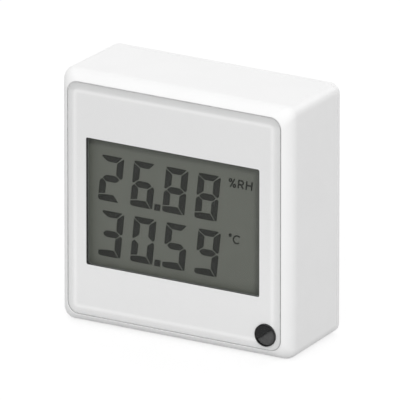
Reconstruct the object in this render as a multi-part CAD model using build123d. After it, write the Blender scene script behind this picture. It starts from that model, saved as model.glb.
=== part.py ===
"""Square temperature and humidity sensor with a liquid crystal display, in millimetres.

The sensor stands on its lower face and looks along -Y, so +X is the viewer's right, +Y points to
the back and +Z is up. The origin lies under the middle of the housing, on the standing surface.
Every piece is drawn as an outline across the sensor, seen from the front, and given its depth.
"""

import math
import os

from build123d import *

# Housing
width = 65.0
height = 65.0
front_rounding = 4.4
outline_corner = 2.6
draft_angle = 0.785
side_wall = 2.1
inner_corner = 1.2
front_wall = 1.6
trimmed_front_share = 0.5

# Clear front lens, and the printed layer and adhesive behind it
lens_margin = 2.35
lens_corner = 3.0
lens_gap = 0.12
lens_thickness = 0.8
lens_rim_width = 1.8
lens_rim_rise = 0.6
lens_face_corner = 2.2
print_thickness = 0.1
print_inset = 0.2
adhesive_thickness = 0.15
adhesive_inset = 0.6

# Display window in the print, and the wider window in the housing behind it
window_left_margin = 7.65
window_right_margin = 8.5
window_bottom_margin = 15.7
window_top_margin = 16.45
window_corner = 0.5
window_relief = 0.7

# Display glass
gasket_thickness = 0.4
gasket_band = 1.6
polarizer_thickness = 0.2
polarizer_overlap = 0.4
glass_thickness = 1.1
glass_side_margin = 2.2
glass_end_margin = 4.6
glass_ledge = 3.2
reflector_thickness = 0.2
glass_clearance = 0.15

# Display bracket and the rubber connectors that run from the glass to the board
bracket_wall = 1.5
bracket_floor = 2.7
bracket_corner = 1.0
connector_width = 2.0
connector_inset = 0.5
connector_end_margin = 3.6
connector_clearance = 0.15

# Sensor port at the lower right of the front
port_radius = 2.85
port_side_inset = 6.7
port_bottom_inset = 6.3
port_clearance = 0.05
port_wall = 0.35
port_front_sink = 0.2
port_ledge_sink = 0.95
port_ledge_width = 0.5
port_flange_radius = 3.6
port_flange_thickness = 0.6
port_mesh_thickness = 0.2
port_window_thickness = 0.5
port_piece_clearance = 0.05
mesh_hole_radius = 0.19
mesh_hole_pitch = 0.62
mesh_row_share = 0.866
mesh_edge = 0.25
sensor_gasket_half = 3.5
sensor_gasket_wall = 0.8

# Share of the port's radius: the wavy edge between the smooth window and the mesh
wave_start_share = (-1.02, -0.49)
wave_lower_share = (-0.40, -0.21)
wave_middle_share = (0.06, 0.20)
wave_upper_share = (0.27, 0.42)
wave_end_share = (0.98, 0.60)

# Circuit board and what it carries
board_thickness = 1.2
board_gap = 0.6
board_corner = 1.0
component_room = 2.7
humidity_chip_size = 2.0
humidity_chip_height = 0.9
humidity_chip_offset = 0.8
light_sensor_width = 1.6
light_sensor_length = 1.2
light_sensor_height = 0.7
light_sensor_offset = 1.0
controller_size = 7.0
controller_height = 1.0
controller_left = 14.0
controller_drop = 2.0
capacitor_length = 1.6
capacitor_width = 0.8
capacitor_height = 0.8
capacitor_pitch = 2.2
capacitor_count = 6
capacitor_drop = 6.4
radio_board_width = 14.0
radio_board_length = 11.0
radio_board_thickness = 0.8
radio_top_inset = 8.6
shield_border = 1.2
shield_height = 1.8
shield_sheet = 0.2
shield_corner = 0.6

# Screws and the bosses that take them
boss_radius = 2.5
boss_inset = 5.9
boss_rib = 1.0
port_boss_spacing = 10.0
post_radius = 2.2
post_spread = 13.0
lower_post_left = 8.0
tray_screw_radius = 1.0
tray_screw_length = 8.0
tray_screw_head_radius = 1.9
tray_screw_head_height = 1.2
board_screw_radius = 0.8
board_screw_length = 3.6
board_screw_head_radius = 1.6
board_screw_head_height = 1.0
screw_facets = 12
screw_clearance = 0.05
screw_hole_spare = 1.0
passage_clearance = 0.3

# Two round cells in a tray
cell_radius = 5.25
cell_length = 44.5
cell_nub_radius = 1.8
cell_nub_length = 0.9
cell_pitch = 11.0
cell_height_share = 0.56
cell_clearance = 0.15
cell_cover_gap = 0.3
contact_sheet = 0.3
contact_width = 6.4
contact_reach = 3.1
contact_leaf_width = 4.6
contact_front_drop = 3.4
contact_back_rise = 3.0
contact_tab_width = 2.4
contact_tab_clearance = 0.2
tray_wall = 1.2
tray_end_wall = 1.2
tray_plate = 1.2
tray_plate_sink = 1.9
tray_gap = 0.3
tray_rim = 1.2
tray_rim_depth = 2.6

# Pairing button and the switch under it
button_radius = 3.5
button_sink = 0.3
button_dish = 0.35
button_flange_radius = 4.3
button_flange_thickness = 2.1
button_flange_gap = 0.05
button_stem_radius = 1.5
button_bevel = 0.3
button_clearance = 0.3
button_height = 14.5
button_guide_wall = 1.0
button_guide_width = 3.0
button_guide_clearance = 0.2
button_guide_depth = 3.4
button_travel = 0.5
switch_size = 6.0
switch_body_height = 3.5
switch_corner = 0.4
switch_plunger_radius = 1.7
switch_plunger_rise = 1.5
switch_plunger_clearance = 0.15
switch_plunger_seat = 1.4

# Back cover
cover_edge = 1.2
cover_inner_step = 0.6
cover_seat_gap = 0.1
cover_groove = 0.15
cover_back_easing = 0.3
cover_lip = 1.0
cover_lip_depth = 1.6
cover_lip_gap = 0.25
notch_width = 12.0
notch_depth = 1.0
notch_height = 1.1

# Catches of the cover, two at the top and two at the bottom
catch_width = 6.0
catch_spread = 17.0
catch_arm = 0.8
catch_nose = 0.5
catch_nose_height = 0.9
catch_drop = 1.9
catch_groove_depth = 0.7
catch_clearance = 0.15
catch_slot_clearance = 0.5

# One length that lets every cut run past the face that it goes through
overrun = 1.0

# The layers from the front of the lens to the back of the cover add up to the depth
front_layers = lens_thickness + print_thickness + adhesive_thickness + front_wall
glass_layers = gasket_thickness + 2 * glass_thickness + reflector_thickness + bracket_floor
board_layers = board_thickness + component_room
cell_layers = tray_wall + cell_clearance + 2 * cell_radius + cell_cover_gap
cover_layers = cover_inner_step + cover_edge
depth = front_layers + glass_layers + board_layers + cell_layers + cover_layers

# Depth of each layer
middle_z = height / 2
lens_front_y = -depth / 2
lens_rim_y = lens_front_y + lens_rim_rise
rim_fall = front_rounding - math.sqrt(front_rounding**2 - (front_rounding - lens_margin) ** 2)
shell_front_y = lens_rim_y - rim_fall
widest_y = shell_front_y + front_rounding
lens_back_y = lens_front_y + lens_thickness
print_back_y = lens_back_y + print_thickness
recess_floor_y = print_back_y + adhesive_thickness
wall_inner_y = recess_floor_y + front_wall
glass_front_y = wall_inner_y + gasket_thickness
glass_middle_y = glass_front_y + glass_thickness
glass_back_y = glass_middle_y + glass_thickness
reflector_back_y = glass_back_y + reflector_thickness
board_front_y = reflector_back_y + bracket_floor
board_back_y = board_front_y + board_thickness
trough_front_y = board_back_y + component_room
trough_radius = cell_radius + cell_clearance
cell_axis_y = trough_front_y + tray_wall + trough_radius
cover_inner_y = cell_axis_y + cell_radius + cell_cover_gap
seam_y = cover_inner_y + cover_inner_step
cover_back_y = seam_y + cover_edge
shell_rim_y = seam_y - cover_seat_gap
tray_back_y = cover_inner_y - tray_plate_sink
tray_front_y = tray_back_y - tray_plate

# Places across the sensor
window_width = width - window_left_margin - window_right_margin
window_height = height - window_bottom_margin - window_top_margin
window_x = (window_left_margin - window_right_margin) / 2
window_z = window_bottom_margin + window_height / 2
glass_width = window_width + 2 * glass_side_margin
glass_height = window_height + 2 * glass_end_margin
port_x = width / 2 - port_side_inset
port_z = port_bottom_inset
cells_z = height * cell_height_share
upper_cell_z = cells_z + cell_pitch / 2
lower_cell_z = cells_z - cell_pitch / 2
well_half_length = (cell_length + contact_reach) / 2 + contact_sheet
left_end = -1
right_end = 1
boss_side_x = width / 2 - boss_inset
top_row_z = height - boss_inset
bosses = (
    (-boss_side_x, top_row_z),
    (boss_side_x, top_row_z),
    (-boss_side_x, boss_inset),
    (port_x - port_boss_spacing, boss_inset),
)
posts = ((-post_spread, top_row_z), (post_spread, top_row_z), (-lower_post_left, boss_inset))


def across(y):
    """A drawing plane across the sensor at one depth, seen from the front: X right, Z up."""
    return Plane(origin=(0, y, 0), x_dir=(1, 0, 0), z_dir=(0, -1, 0))


def slab(outline, front, back):
    """An outline across the sensor, made solid between two depths."""
    return extrude(across(back) * outline, amount=back - front)


def disc(x, z, radius):
    """A round outline across the sensor."""
    return Pos(x, z) * Circle(radius)


def plate(x, z, across_x, across_z, corner):
    """A rectangle with rounded corners, across the sensor."""
    return Pos(x, z) * RectangleRounded(across_x, across_z, corner)


def block(x, z, across_x, across_z):
    """A rectangle with sharp corners, across the sensor."""
    return Pos(x, z) * Rectangle(across_x, across_z)


def housing_outline(inset, corner):
    """The housing's square outline, drawn in by an inset on all four sides."""
    return plate(0, middle_z, width - 2 * inset, height - 2 * inset, corner)


def draft_inset(y):
    """How far the moulding draft has drawn the outline in at one depth."""
    return (y - widest_y) * math.tan(math.radians(draft_angle))


def side_profile(span, front, back):
    """A trapezoid in depth: the housing's drafted outline seen from above or from the side."""
    front_half = span / 2 - draft_inset(front)
    back_half = span / 2 - draft_inset(back)
    corners = ((-front_half, front), (front_half, front), (back_half, back), (-back_half, back))
    return make_face(Polyline(*corners, close=True))


def tapered_block(front, back):
    """A block between two depths whose four sides all follow the moulding draft."""
    below = Plane(origin=(0, 0, -overrun))
    right = Plane(origin=(width, 0, middle_z), x_dir=(0, 0, 1), z_dir=(-1, 0, 0))
    from_above = extrude(below * side_profile(width, front, back), amount=height + 2 * overrun)
    from_side = extrude(right * side_profile(height, front, back), amount=2 * width)
    return from_above & from_side


def corner_edges(body):
    """The edges of a body that run from its front towards its back, which are its corners."""
    return [edge for edge in body.edges() if abs((edge @ 0).Y - (edge @ 1).Y) > cover_groove]


def rounded_body():
    """The housing's outside: rounded front edges, then the smaller rounding over its corners."""
    body = tapered_block(shell_front_y, shell_rim_y)
    body = fillet(body.edges().group_by(Axis.Y)[0], front_rounding)
    trimmed_y = shell_front_y + rim_fall * trimmed_front_share
    front_sheet = block(0, middle_z, 2 * width, 2 * height)
    body -= slab(front_sheet, shell_front_y - overrun, trimmed_y)
    body = fillet(corner_edges(body), outline_corner)
    return chamfer(body.edges().group_by(Axis.Y)[-1], cover_groove)


def display_window(relief=0):
    """The display window's outline, wider by a relief on each side."""
    across_x = window_width + 2 * relief
    across_z = window_height + 2 * relief
    return plate(window_x, window_z, across_x, across_z, window_corner + relief)


def boss_ribs(x, z):
    """Two ribs that tie a screw boss to the nearest side wall and end wall."""
    to_side = (width / 2 - side_wall) * math.copysign(1, x)
    to_end = side_wall if z < middle_z else height - side_wall
    end_rib = block(x, (z + to_end) / 2, boss_rib, abs(to_end - z))
    if abs(x) < boss_side_x:
        return end_rib
    return end_rib + block((x + to_side) / 2, z, abs(to_side - x), boss_rib)


def catch_places():
    """Middle of each cover catch, as x, the inner wall's height and the way out of the wall."""
    inner_half = height / 2 - side_wall
    return [
        (x, middle_z + way * inner_half, way)
        for way in (-1, 1)
        for x in (-catch_spread, catch_spread)
    ]


def catch_grooves():
    """Grooves inside the top and bottom walls, where the noses of the cover's catches hold."""
    nose_back = cover_inner_y - catch_drop + catch_nose_height
    front = cover_inner_y - catch_drop - catch_clearance
    back = nose_back + catch_clearance
    grooves = []
    for x, wall_z, way in catch_places():
        mouth = block(
            x, wall_z, catch_width + 2 * catch_slot_clearance, 2 * catch_groove_depth
        )
        grooves.append(slab(mouth, front, back))
    return grooves


def front_shell():
    """Moulded bucket with the lens recess, the display window, the bosses and the catch grooves."""
    shell = rounded_body()
    shell -= slab(housing_outline(lens_margin, lens_corner), shell_front_y - overrun, recess_floor_y)
    shell -= slab(housing_outline(side_wall, inner_corner), wall_inner_y, seam_y + overrun)
    shell -= slab(display_window(window_relief), recess_floor_y - overrun, wall_inner_y + overrun)
    port_hole = disc(port_x, port_z, port_radius + port_clearance)
    shell -= slab(port_hole, recess_floor_y - overrun, wall_inner_y + overrun)
    for x, z in bosses:
        shell += slab(disc(x, z, boss_radius), recess_floor_y, tray_front_y)
        shell += slab(boss_ribs(x, z), recess_floor_y, tray_front_y - tray_rim_depth - tray_gap)
        hole = disc(x, z, tray_screw_radius + screw_clearance)
        hole_front = tray_back_y - tray_screw_length - screw_hole_spare
        shell -= slab(hole, hole_front, tray_front_y + overrun)
    for x, z in posts:
        shell += slab(disc(x, z, post_radius), recess_floor_y, board_front_y)
        hole = disc(x, z, board_screw_radius + screw_clearance)
        hole_front = board_back_y - board_screw_length - screw_hole_spare
        shell -= slab(hole, hole_front, board_front_y + overrun)
    for groove in catch_grooves():
        shell -= groove
    notch = Pos(0, 0) * Ellipse(notch_width / 2, notch_depth + draft_inset(seam_y))
    shell -= slab(notch, shell_rim_y - notch_height, seam_y + overrun)
    return shell


def front_lens():
    """Clear moulded lens: a flat face inside a shallow bevelled rim, with the port's hole."""
    inset = lens_margin + lens_gap
    rim = housing_outline(inset, lens_corner - lens_gap)
    face = housing_outline(inset + lens_rim_width, lens_face_corner)
    lens = slab(rim, lens_rim_y, lens_back_y)
    lens += loft([across(lens_rim_y) * rim, across(lens_front_y) * face], ruled=True)
    hole = disc(port_x, port_z, port_radius + port_clearance)
    return lens - slab(hole, lens_front_y - overrun, lens_back_y + overrun)


def display_mask():
    """White printed layer on the back of the lens, with the display window left open."""
    inset = lens_margin + lens_gap + print_inset
    layer = housing_outline(inset, lens_corner - lens_gap) - display_window()
    layer -= disc(port_x, port_z, port_radius + port_clearance)
    return slab(layer, lens_back_y, print_back_y)


def lens_adhesive():
    """Double-sided adhesive frame between the printed lens and the floor of the recess."""
    inset = lens_margin + lens_gap + adhesive_inset
    frame = housing_outline(inset, lens_corner - lens_gap) - display_window(window_relief)
    frame -= disc(port_x, port_z, port_radius + port_clearance)
    return slab(frame, print_back_y, recess_floor_y)


def port_housing():
    """Black cup of the sensor port: a tube through the front with a ledge and a rear flange."""
    front = lens_front_y + port_front_sink
    ledge_front = lens_front_y + port_ledge_sink
    bore = port_radius - port_wall
    cup = slab(disc(port_x, port_z, port_radius), front, wall_inner_y)
    flange = disc(port_x, port_z, port_flange_radius)
    cup += slab(flange, wall_inner_y, wall_inner_y + port_flange_thickness)
    cup -= slab(disc(port_x, port_z, bore), front - overrun, ledge_front)
    throat = disc(port_x, port_z, bore - port_ledge_width)
    return cup - slab(throat, ledge_front - overrun, wall_inner_y + port_flange_thickness + overrun)


def wavy_split(side):
    """Half of a square over the port, bounded by the wave. side is 1 above it and -1 below."""

    def place(share):
        return (port_x + port_radius * share[0], port_z + port_radius * share[1])

    far = port_radius + overrun
    start = place(wave_start_share)
    end = place(wave_end_share)
    edge = ThreePointArc(start, place(wave_lower_share), place(wave_middle_share))
    edge += ThreePointArc(place(wave_middle_share), place(wave_upper_share), end)
    corners = [
        end,
        (port_x + far, end[1]),
        (port_x + far, port_z + side * far),
        (port_x - far, port_z + side * far),
        (port_x - far, start[1]),
        start,
    ]
    return make_face(edge + Polyline(corners))


def port_window():
    """Smooth dark window of the light sensor, over the upper left of the port."""
    outline = disc(port_x, port_z, port_radius - port_wall - port_piece_clearance)
    front = lens_front_y + port_ledge_sink - port_mesh_thickness - port_window_thickness
    return slab(outline & wavy_split(1), front, front + port_window_thickness)


def mesh_holes():
    """Places of the vent holes: a staggered pattern, kept below the wave and off the rim."""
    reach = port_radius - port_wall - port_ledge_width - mesh_edge
    row_pitch = mesh_hole_pitch * mesh_row_share
    count = math.ceil(reach / row_pitch)
    rise = (wave_end_share[1] - wave_start_share[1]) / (wave_end_share[0] - wave_start_share[0])
    holes = []
    for row in range(-count, count + 1):
        for column in range(-count, count + 1):
            x = (column + row % 2 / 2) * mesh_hole_pitch
            z = row * row_pitch
            if math.hypot(x, z) < reach and z < rise * x - mesh_hole_pitch:
                holes.append((x, z))
    return holes


def port_mesh():
    """Fine vent mesh in the floor of the port, with a staggered pattern of six-sided holes."""
    outline = disc(port_x, port_z, port_radius - port_wall - port_piece_clearance)
    for x, z in mesh_holes():
        outline -= Pos(port_x + x, port_z + z) * RegularPolygon(mesh_hole_radius, 6)
    back = lens_front_y + port_ledge_sink
    return slab(outline, back - port_mesh_thickness, back)


def sensor_gasket():
    """Square foam frame that leads the air from the port to the humidity chip on the board."""
    outer = 2 * sensor_gasket_half
    inner = outer - 2 * sensor_gasket_wall
    frame = block(port_x, port_z, outer, outer) - block(port_x, port_z, inner, inner)
    return slab(frame, wall_inner_y + port_flange_thickness, board_front_y)


def lcd_gasket():
    """Foam frame between the housing's front wall and the display glass."""
    frame = display_window(window_relief + gasket_band) - display_window(window_relief)
    return slab(frame, wall_inner_y, glass_front_y)


def lcd_front_polarizer():
    """Front polarizing film, which lies on the glass inside the foam frame."""
    film = display_window(polarizer_overlap)
    return slab(film, glass_front_y - polarizer_thickness, glass_front_y)


def lcd_front_glass():
    """Front glass of the display, longer than the rear one so that its contacts lie bare."""
    outline = block(window_x, window_z, glass_width, glass_height)
    return slab(outline, glass_front_y, glass_middle_y)


def lcd_rear_glass():
    """Rear glass of the display, shorter by a ledge at the top and at the bottom."""
    outline = block(window_x, window_z, glass_width, glass_height - 2 * glass_ledge)
    return slab(outline, glass_middle_y, glass_back_y)


def lcd_reflector():
    """Rear polarizing film with its grey reflector, on the back of the rear glass."""
    outline = display_window(polarizer_overlap)
    return slab(outline, glass_back_y, reflector_back_y)


def connector_places():
    """Height of the middle of each rubber connector, upper one first."""
    reach = glass_height / 2 - connector_inset - connector_width / 2
    return (window_z + reach, window_z - reach)


def lcd_bracket():
    """Moulded tray that holds the display glass against the housing, with connector slots."""
    pocket_x = glass_width + 2 * glass_clearance
    pocket_z = glass_height + 2 * glass_clearance
    outer_x = pocket_x + 2 * bracket_wall
    outer_z = pocket_z + 2 * bracket_wall
    outer = plate(window_x, window_z, outer_x, outer_z, bracket_corner)
    bracket = slab(outer, glass_front_y, board_front_y)
    pocket = block(window_x, window_z, pocket_x, pocket_z)
    bracket -= slab(pocket, glass_front_y - overrun, glass_middle_y)
    rear_pocket = block(window_x, window_z, pocket_x, pocket_z - 2 * glass_ledge)
    bracket -= slab(rear_pocket, glass_front_y - overrun, glass_back_y)
    reflector_bed = display_window(polarizer_overlap + glass_clearance)
    bracket -= slab(reflector_bed, glass_front_y - overrun, reflector_back_y)
    relief = 2 * (max(port_flange_radius, sensor_gasket_half) + passage_clearance)
    port_relief = block(port_x, port_z, relief, relief)
    bracket -= slab(port_relief, glass_front_y - overrun, board_front_y + overrun)
    slot_x = glass_width - 2 * connector_end_margin + 2 * connector_clearance
    for z in connector_places():
        slot = block(window_x, z, slot_x, connector_width + 2 * connector_clearance)
        bracket -= slab(slot, glass_front_y - overrun, board_front_y + overrun)
    return bracket


def zebra_strip(z):
    """Striped rubber connector between the ledge of the front glass and the board."""
    outline = block(window_x, z, glass_width - 2 * connector_end_margin, connector_width)
    return slab(outline, glass_middle_y, board_front_y)


def main_board():
    """Circuit board with square cut-outs where the tall bosses pass, and its screw holes."""
    outline = housing_outline(side_wall + board_gap, board_corner)
    for x, z in bosses:
        outline -= boss_cut(x, z)
    for x, z in posts:
        outline -= disc(x, z, board_screw_radius + screw_clearance)
    return slab(outline, board_front_y, board_back_y)


def boss_cut(x, z):
    """What the board and the tray's rim leave out round a boss: a slot, or the whole corner."""
    half = boss_radius + passage_clearance
    end = 0 if z < middle_z else height
    near_z = z + math.copysign(half, z - end)
    if abs(x) < boss_side_x:
        return block(x, (near_z + end) / 2, 2 * half, abs(end - near_z))
    side = math.copysign(width / 2, x)
    near_x = x - math.copysign(half, x)
    return block((near_x + side) / 2, (near_z + end) / 2, abs(side - near_x), abs(end - near_z))


def humidity_chip():
    """Humidity and temperature chip on the front of the board, inside the gasket's bore."""
    outline = block(
        port_x + humidity_chip_offset,
        port_z - humidity_chip_offset,
        humidity_chip_size,
        humidity_chip_size,
    )
    return slab(outline, board_front_y - humidity_chip_height, board_front_y)


def light_sensor():
    """Light sensor on the front of the board, behind the port's smooth window."""
    outline = block(
        port_x - light_sensor_offset,
        port_z + light_sensor_offset,
        light_sensor_width,
        light_sensor_length,
    )
    return slab(outline, board_front_y - light_sensor_height, board_front_y)


def controller_chip():
    """Controller and display driver chip on the back of the board, under the cells."""
    outline = block(-controller_left, cells_z - controller_drop, controller_size, controller_size)
    return slab(outline, board_back_y, board_back_y + controller_height)


def board_capacitors():
    """Row of small capacitors on the back of the board, below the controller."""
    first = -controller_left - capacitor_pitch * (capacitor_count - 1) / 2
    z = cells_z - controller_drop - capacitor_drop
    row = []
    for number in range(capacitor_count):
        x = first + number * capacitor_pitch
        body = block(x, z, capacitor_width, capacitor_length)
        row.append(slab(body, board_back_y, board_back_y + capacitor_height))
    return Compound(children=row)


def radio_module():
    """Small radio board soldered to the back of the main board, near the top."""
    outline = block(0, height - radio_top_inset, radio_board_width, radio_board_length)
    return slab(outline, board_back_y, board_back_y + radio_board_thickness)


def radio_shield():
    """Pressed shield can over the radio module: a thin box, open towards its board."""
    can_x = radio_board_width - 2 * shield_border
    can_z = radio_board_length - 2 * shield_border
    z = height - radio_top_inset
    front = board_back_y + radio_board_thickness
    can = slab(plate(0, z, can_x, can_z, shield_corner), front, front + shield_height)
    hollow = plate(
        0, z, can_x - 2 * shield_sheet, can_z - 2 * shield_sheet, shield_corner - shield_sheet
    )
    return can - slab(hollow, front - overrun, front + shield_height - shield_sheet)


def screw(x, z, radius, length, head_radius, head_height, head_front):
    """Pan-head screw that points to the front, with facets in place of its round sides."""
    shank = Pos(x, z) * RegularPolygon(radius, screw_facets)
    head = Pos(x, z) * RegularPolygon(head_radius, screw_facets)
    body = slab(shank, head_front - length, head_front)
    return body + slab(head, head_front, head_front + head_height)


def board_screws():
    """Screws that hold the board and the display bracket to the posts of the housing."""
    group = []
    for x, z in posts:
        group.append(
            screw(
                x,
                z,
                board_screw_radius,
                board_screw_length,
                board_screw_head_radius,
                board_screw_head_height,
                board_back_y,
            )
        )
    return Compound(children=group)


def tray_screws():
    """Screws that hold the battery tray to the tall bosses of the housing."""
    group = []
    for x, z in bosses:
        group.append(
            screw(
                x,
                z,
                tray_screw_radius,
                tray_screw_length,
                tray_screw_head_radius,
                tray_screw_head_height,
                tray_back_y,
            )
        )
    return Compound(children=group)


def lengthwise(z, radius, half_length):
    """A cylinder along X at the depth of the cells' axes."""
    across_x = Plane(origin=(-half_length, cell_axis_y, z), x_dir=(0, 1, 0), z_dir=(1, 0, 0))
    return extrude(across_x * Circle(radius), amount=2 * half_length)


def well_box(border, back):
    """The straight upper part of the cell well, from the cells' axes to a given depth."""
    across_z = cell_pitch + 2 * (trough_radius + border)
    across_x = 2 * (well_half_length + (tray_end_wall if border else 0))
    return slab(block(0, cells_z, across_x, across_z), cell_axis_y, back)


def contact_slots():
    """Outlines of the slots that let the contacts' tabs through the floor of the well."""
    clearance = contact_tab_clearance
    x = well_half_length - contact_sheet / 2
    return [
        block(-x, z, contact_sheet + 2 * clearance, contact_tab_width + 2 * clearance)
        for z in (upper_cell_z, lower_cell_z)
    ]


def button_guide():
    """Four guide ribs under the tray's plate, between which the flange of the button slides."""
    reach = button_flange_radius + button_guide_clearance + button_guide_wall / 2
    ribs = []
    for way in (-reach, reach):
        ribs.append(block(way, button_height, button_guide_wall, button_guide_width))
        ribs.append(block(0, button_height + way, button_guide_width, button_guide_wall))
    return [slab(rib, tray_front_y - button_guide_depth, tray_front_y) for rib in ribs]


def battery_tray():
    """Moulded chassis: a plate with a rim, a double round well for the cells, a button guide."""
    edge = side_wall + tray_gap
    tray = slab(housing_outline(edge, inner_corner), tray_front_y, tray_back_y)
    rim = housing_outline(edge, inner_corner) - housing_outline(edge + tray_rim, inner_corner / 2)
    tray += slab(rim, tray_front_y - tray_rim_depth, tray_front_y)
    for x, z in bosses:
        tray -= slab(boss_cut(x, z), tray_front_y - tray_rim_depth - overrun, tray_front_y)
        hole = disc(x, z, tray_screw_radius + screw_clearance)
        tray -= slab(hole, tray_front_y - overrun, tray_back_y + overrun)
    outer_half = well_half_length + tray_end_wall
    tray += well_box(tray_wall, tray_back_y)
    front_half = slab(housing_outline(edge, inner_corner), trough_front_y, cell_axis_y)
    for z in (upper_cell_z, lower_cell_z):
        tray += lengthwise(z, trough_radius + tray_wall, outer_half) & front_half
    tray -= well_box(0, tray_back_y + overrun)
    for z in (upper_cell_z, lower_cell_z):
        tray -= lengthwise(z, trough_radius, well_half_length)
    for slot in contact_slots():
        tray -= slab(slot, trough_front_y - overrun, cell_axis_y)
    for rib in button_guide():
        tray += rib
    passage = disc(0, button_height, button_radius + button_clearance)
    return tray - slab(passage, tray_front_y - overrun, tray_back_y + overrun)


def cell(z, way):
    """Round cell along X, with its nub at the end that way points to."""
    body_end = cell_length - cell_nub_length
    profile = Polyline(
        (0, 0),
        (0, cell_radius),
        (body_end, cell_radius),
        (body_end, cell_nub_radius),
        (cell_length, cell_nub_radius),
        (cell_length, 0),
        (0, 0),
    )
    solid = revolve(make_face(profile), Axis.X)
    if way == left_end:
        solid = mirror(solid, about=Plane.YZ)
    flat_end = well_half_length - contact_sheet - cell_length
    return Pos(way * flat_end, cell_axis_y, z) * solid


def contact_strip(z, end):
    """Flat part of a contact against one end wall of the well."""
    x = end * (well_half_length - contact_sheet / 2)
    front = cell_axis_y - contact_front_drop
    back = cell_axis_y + contact_back_rise
    return slab(block(x, z, contact_sheet, contact_width), front, back)


def contact_leaf(z, end):
    """Bowed spring leaf that presses on the flat end of a cell."""
    x = end * (well_half_length - contact_sheet)
    drawn = Plane(origin=(x, cell_axis_y, z - contact_leaf_width / 2))
    bow = Circle(contact_reach) - Circle(contact_reach - contact_sheet)
    inner_half = Pos(-end * contact_reach / 2, 0) * Rectangle(contact_reach, 2 * contact_reach)
    return extrude(drawn * (bow & inner_half), amount=contact_leaf_width)


def contact_tab(z):
    """Tab that runs from a contact through the well's floor to the back of the board."""
    x = -(well_half_length - contact_sheet / 2)
    outline = block(x, z, contact_sheet, contact_tab_width)
    return slab(outline, board_back_y, cell_axis_y - contact_front_drop)


def positive_contact():
    """Flat contact for the nub of the upper cell, with its tab."""
    return contact_strip(upper_cell_z, left_end) + contact_tab(upper_cell_z)


def negative_contact():
    """Sprung contact for the flat end of the lower cell, with its tab."""
    strip = contact_strip(lower_cell_z, left_end)
    return strip + contact_leaf(lower_cell_z, left_end) + contact_tab(lower_cell_z)


def bridge_contact():
    """Contact that joins the two cells at the right: a leaf above and a flat place below."""
    x = well_half_length - contact_sheet / 2
    link = block(x, cells_z, contact_sheet, cell_pitch)
    bridge = slab(link, cell_axis_y, cell_axis_y + contact_back_rise)
    for z in (upper_cell_z, lower_cell_z):
        bridge += contact_strip(z, right_end)
    return bridge + contact_leaf(upper_cell_z, right_end)


def pairing_switch():
    """Body of the small push switch on the board, with the well of its plunger."""
    outline = plate(0, button_height, switch_size, switch_size, switch_corner)
    back = board_back_y + switch_body_height
    body = slab(outline, board_back_y, back)
    well = disc(0, button_height, switch_plunger_radius + switch_plunger_clearance)
    floor = back - switch_plunger_seat - button_travel - switch_plunger_clearance
    return body - slab(well, floor, back + overrun)


def switch_plunger():
    """Round plunger of the switch, which travels with the button."""
    back = board_back_y + switch_body_height
    outline = disc(0, button_height, switch_plunger_radius)
    return slab(outline, back - switch_plunger_seat, back + switch_plunger_rise)


def pairing_button():
    """Button cap with a dished top, a guiding flange and a stem that meets the switch."""
    top = cover_back_y - button_sink
    flange_back = tray_front_y - button_flange_gap
    flange_front = flange_back - button_flange_thickness
    stem_front = board_back_y + switch_body_height + switch_plunger_rise
    cap = slab(disc(0, button_height, button_radius), flange_back, top)
    cap = chamfer(cap.edges().group_by(Axis.Y)[-1], button_bevel)
    dish_radius = (button_radius**2 + button_dish**2) / (2 * button_dish)
    cap -= Pos(0, top + dish_radius - button_dish, button_height) * Sphere(dish_radius)
    flange = slab(disc(0, button_height, button_flange_radius), flange_front, flange_back)
    stem = slab(disc(0, button_height, button_stem_radius), stem_front, flange_front)
    return cap + flange + stem


def lip_gaps():
    """Outlines of the gaps in the cover's lip where the catches stand."""
    gap_x = catch_width + 2 * catch_slot_clearance
    gap_z = 2 * (cover_lip_gap + cover_lip + overrun)
    return [block(x, wall_z, gap_x, gap_z) for x, wall_z, way in catch_places()]


def back_cover():
    """Full-size cover plate with a stepped inside, a locating lip and ribs behind the cells."""
    cover = tapered_block(seam_y, cover_back_y)
    cover = fillet(corner_edges(cover), outline_corner)
    cover = chamfer(cover.edges().group_by(Axis.Y)[0], cover_groove)
    cover = chamfer(cover.edges().group_by(Axis.Y)[-1], cover_back_easing)
    edge = side_wall + cover_lip_gap
    cover += slab(housing_outline(edge, inner_corner), cover_inner_y, seam_y)
    lip = housing_outline(edge, inner_corner) - housing_outline(edge + cover_lip, inner_corner / 2)
    for gap in lip_gaps():
        lip -= gap
    cover += slab(lip, cover_inner_y - cover_lip_depth, cover_inner_y)
    passage = disc(0, button_height, button_radius + button_clearance)
    return cover - slab(passage, cover_inner_y - overrun, cover_back_y + overrun)


def catch(x, wall_z, way):
    """One catch: an arm off the cover with a sloped nose that reaches into the wall's groove."""
    root = way * (cover_lip_gap + catch_arm)
    face = way * cover_lip_gap
    nose = way * (catch_nose - cover_lip_gap / 2)
    tip_y = cover_inner_y - catch_drop
    nose_y = tip_y + catch_nose_height
    section = Plane(origin=(x - catch_width / 2, 0, wall_z), x_dir=(0, 1, 0), z_dir=(1, 0, 0))
    outline = Polyline(
        (cover_inner_y, -face),
        (nose_y, -face),
        (nose_y - catch_nose_height / 4, nose),
        (nose_y - catch_nose_height / 2, nose),
        (tip_y, -face),
        (tip_y, -root),
        (cover_inner_y, -root),
        (cover_inner_y, -face),
    )
    return extrude(section * make_face(outline), amount=catch_width)


def cover_catches():
    """The four catches of the cover, two at the top and two at the bottom."""
    return Compound(children=[catch(x, wall_z, way) for x, wall_z, way in catch_places()])


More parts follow.
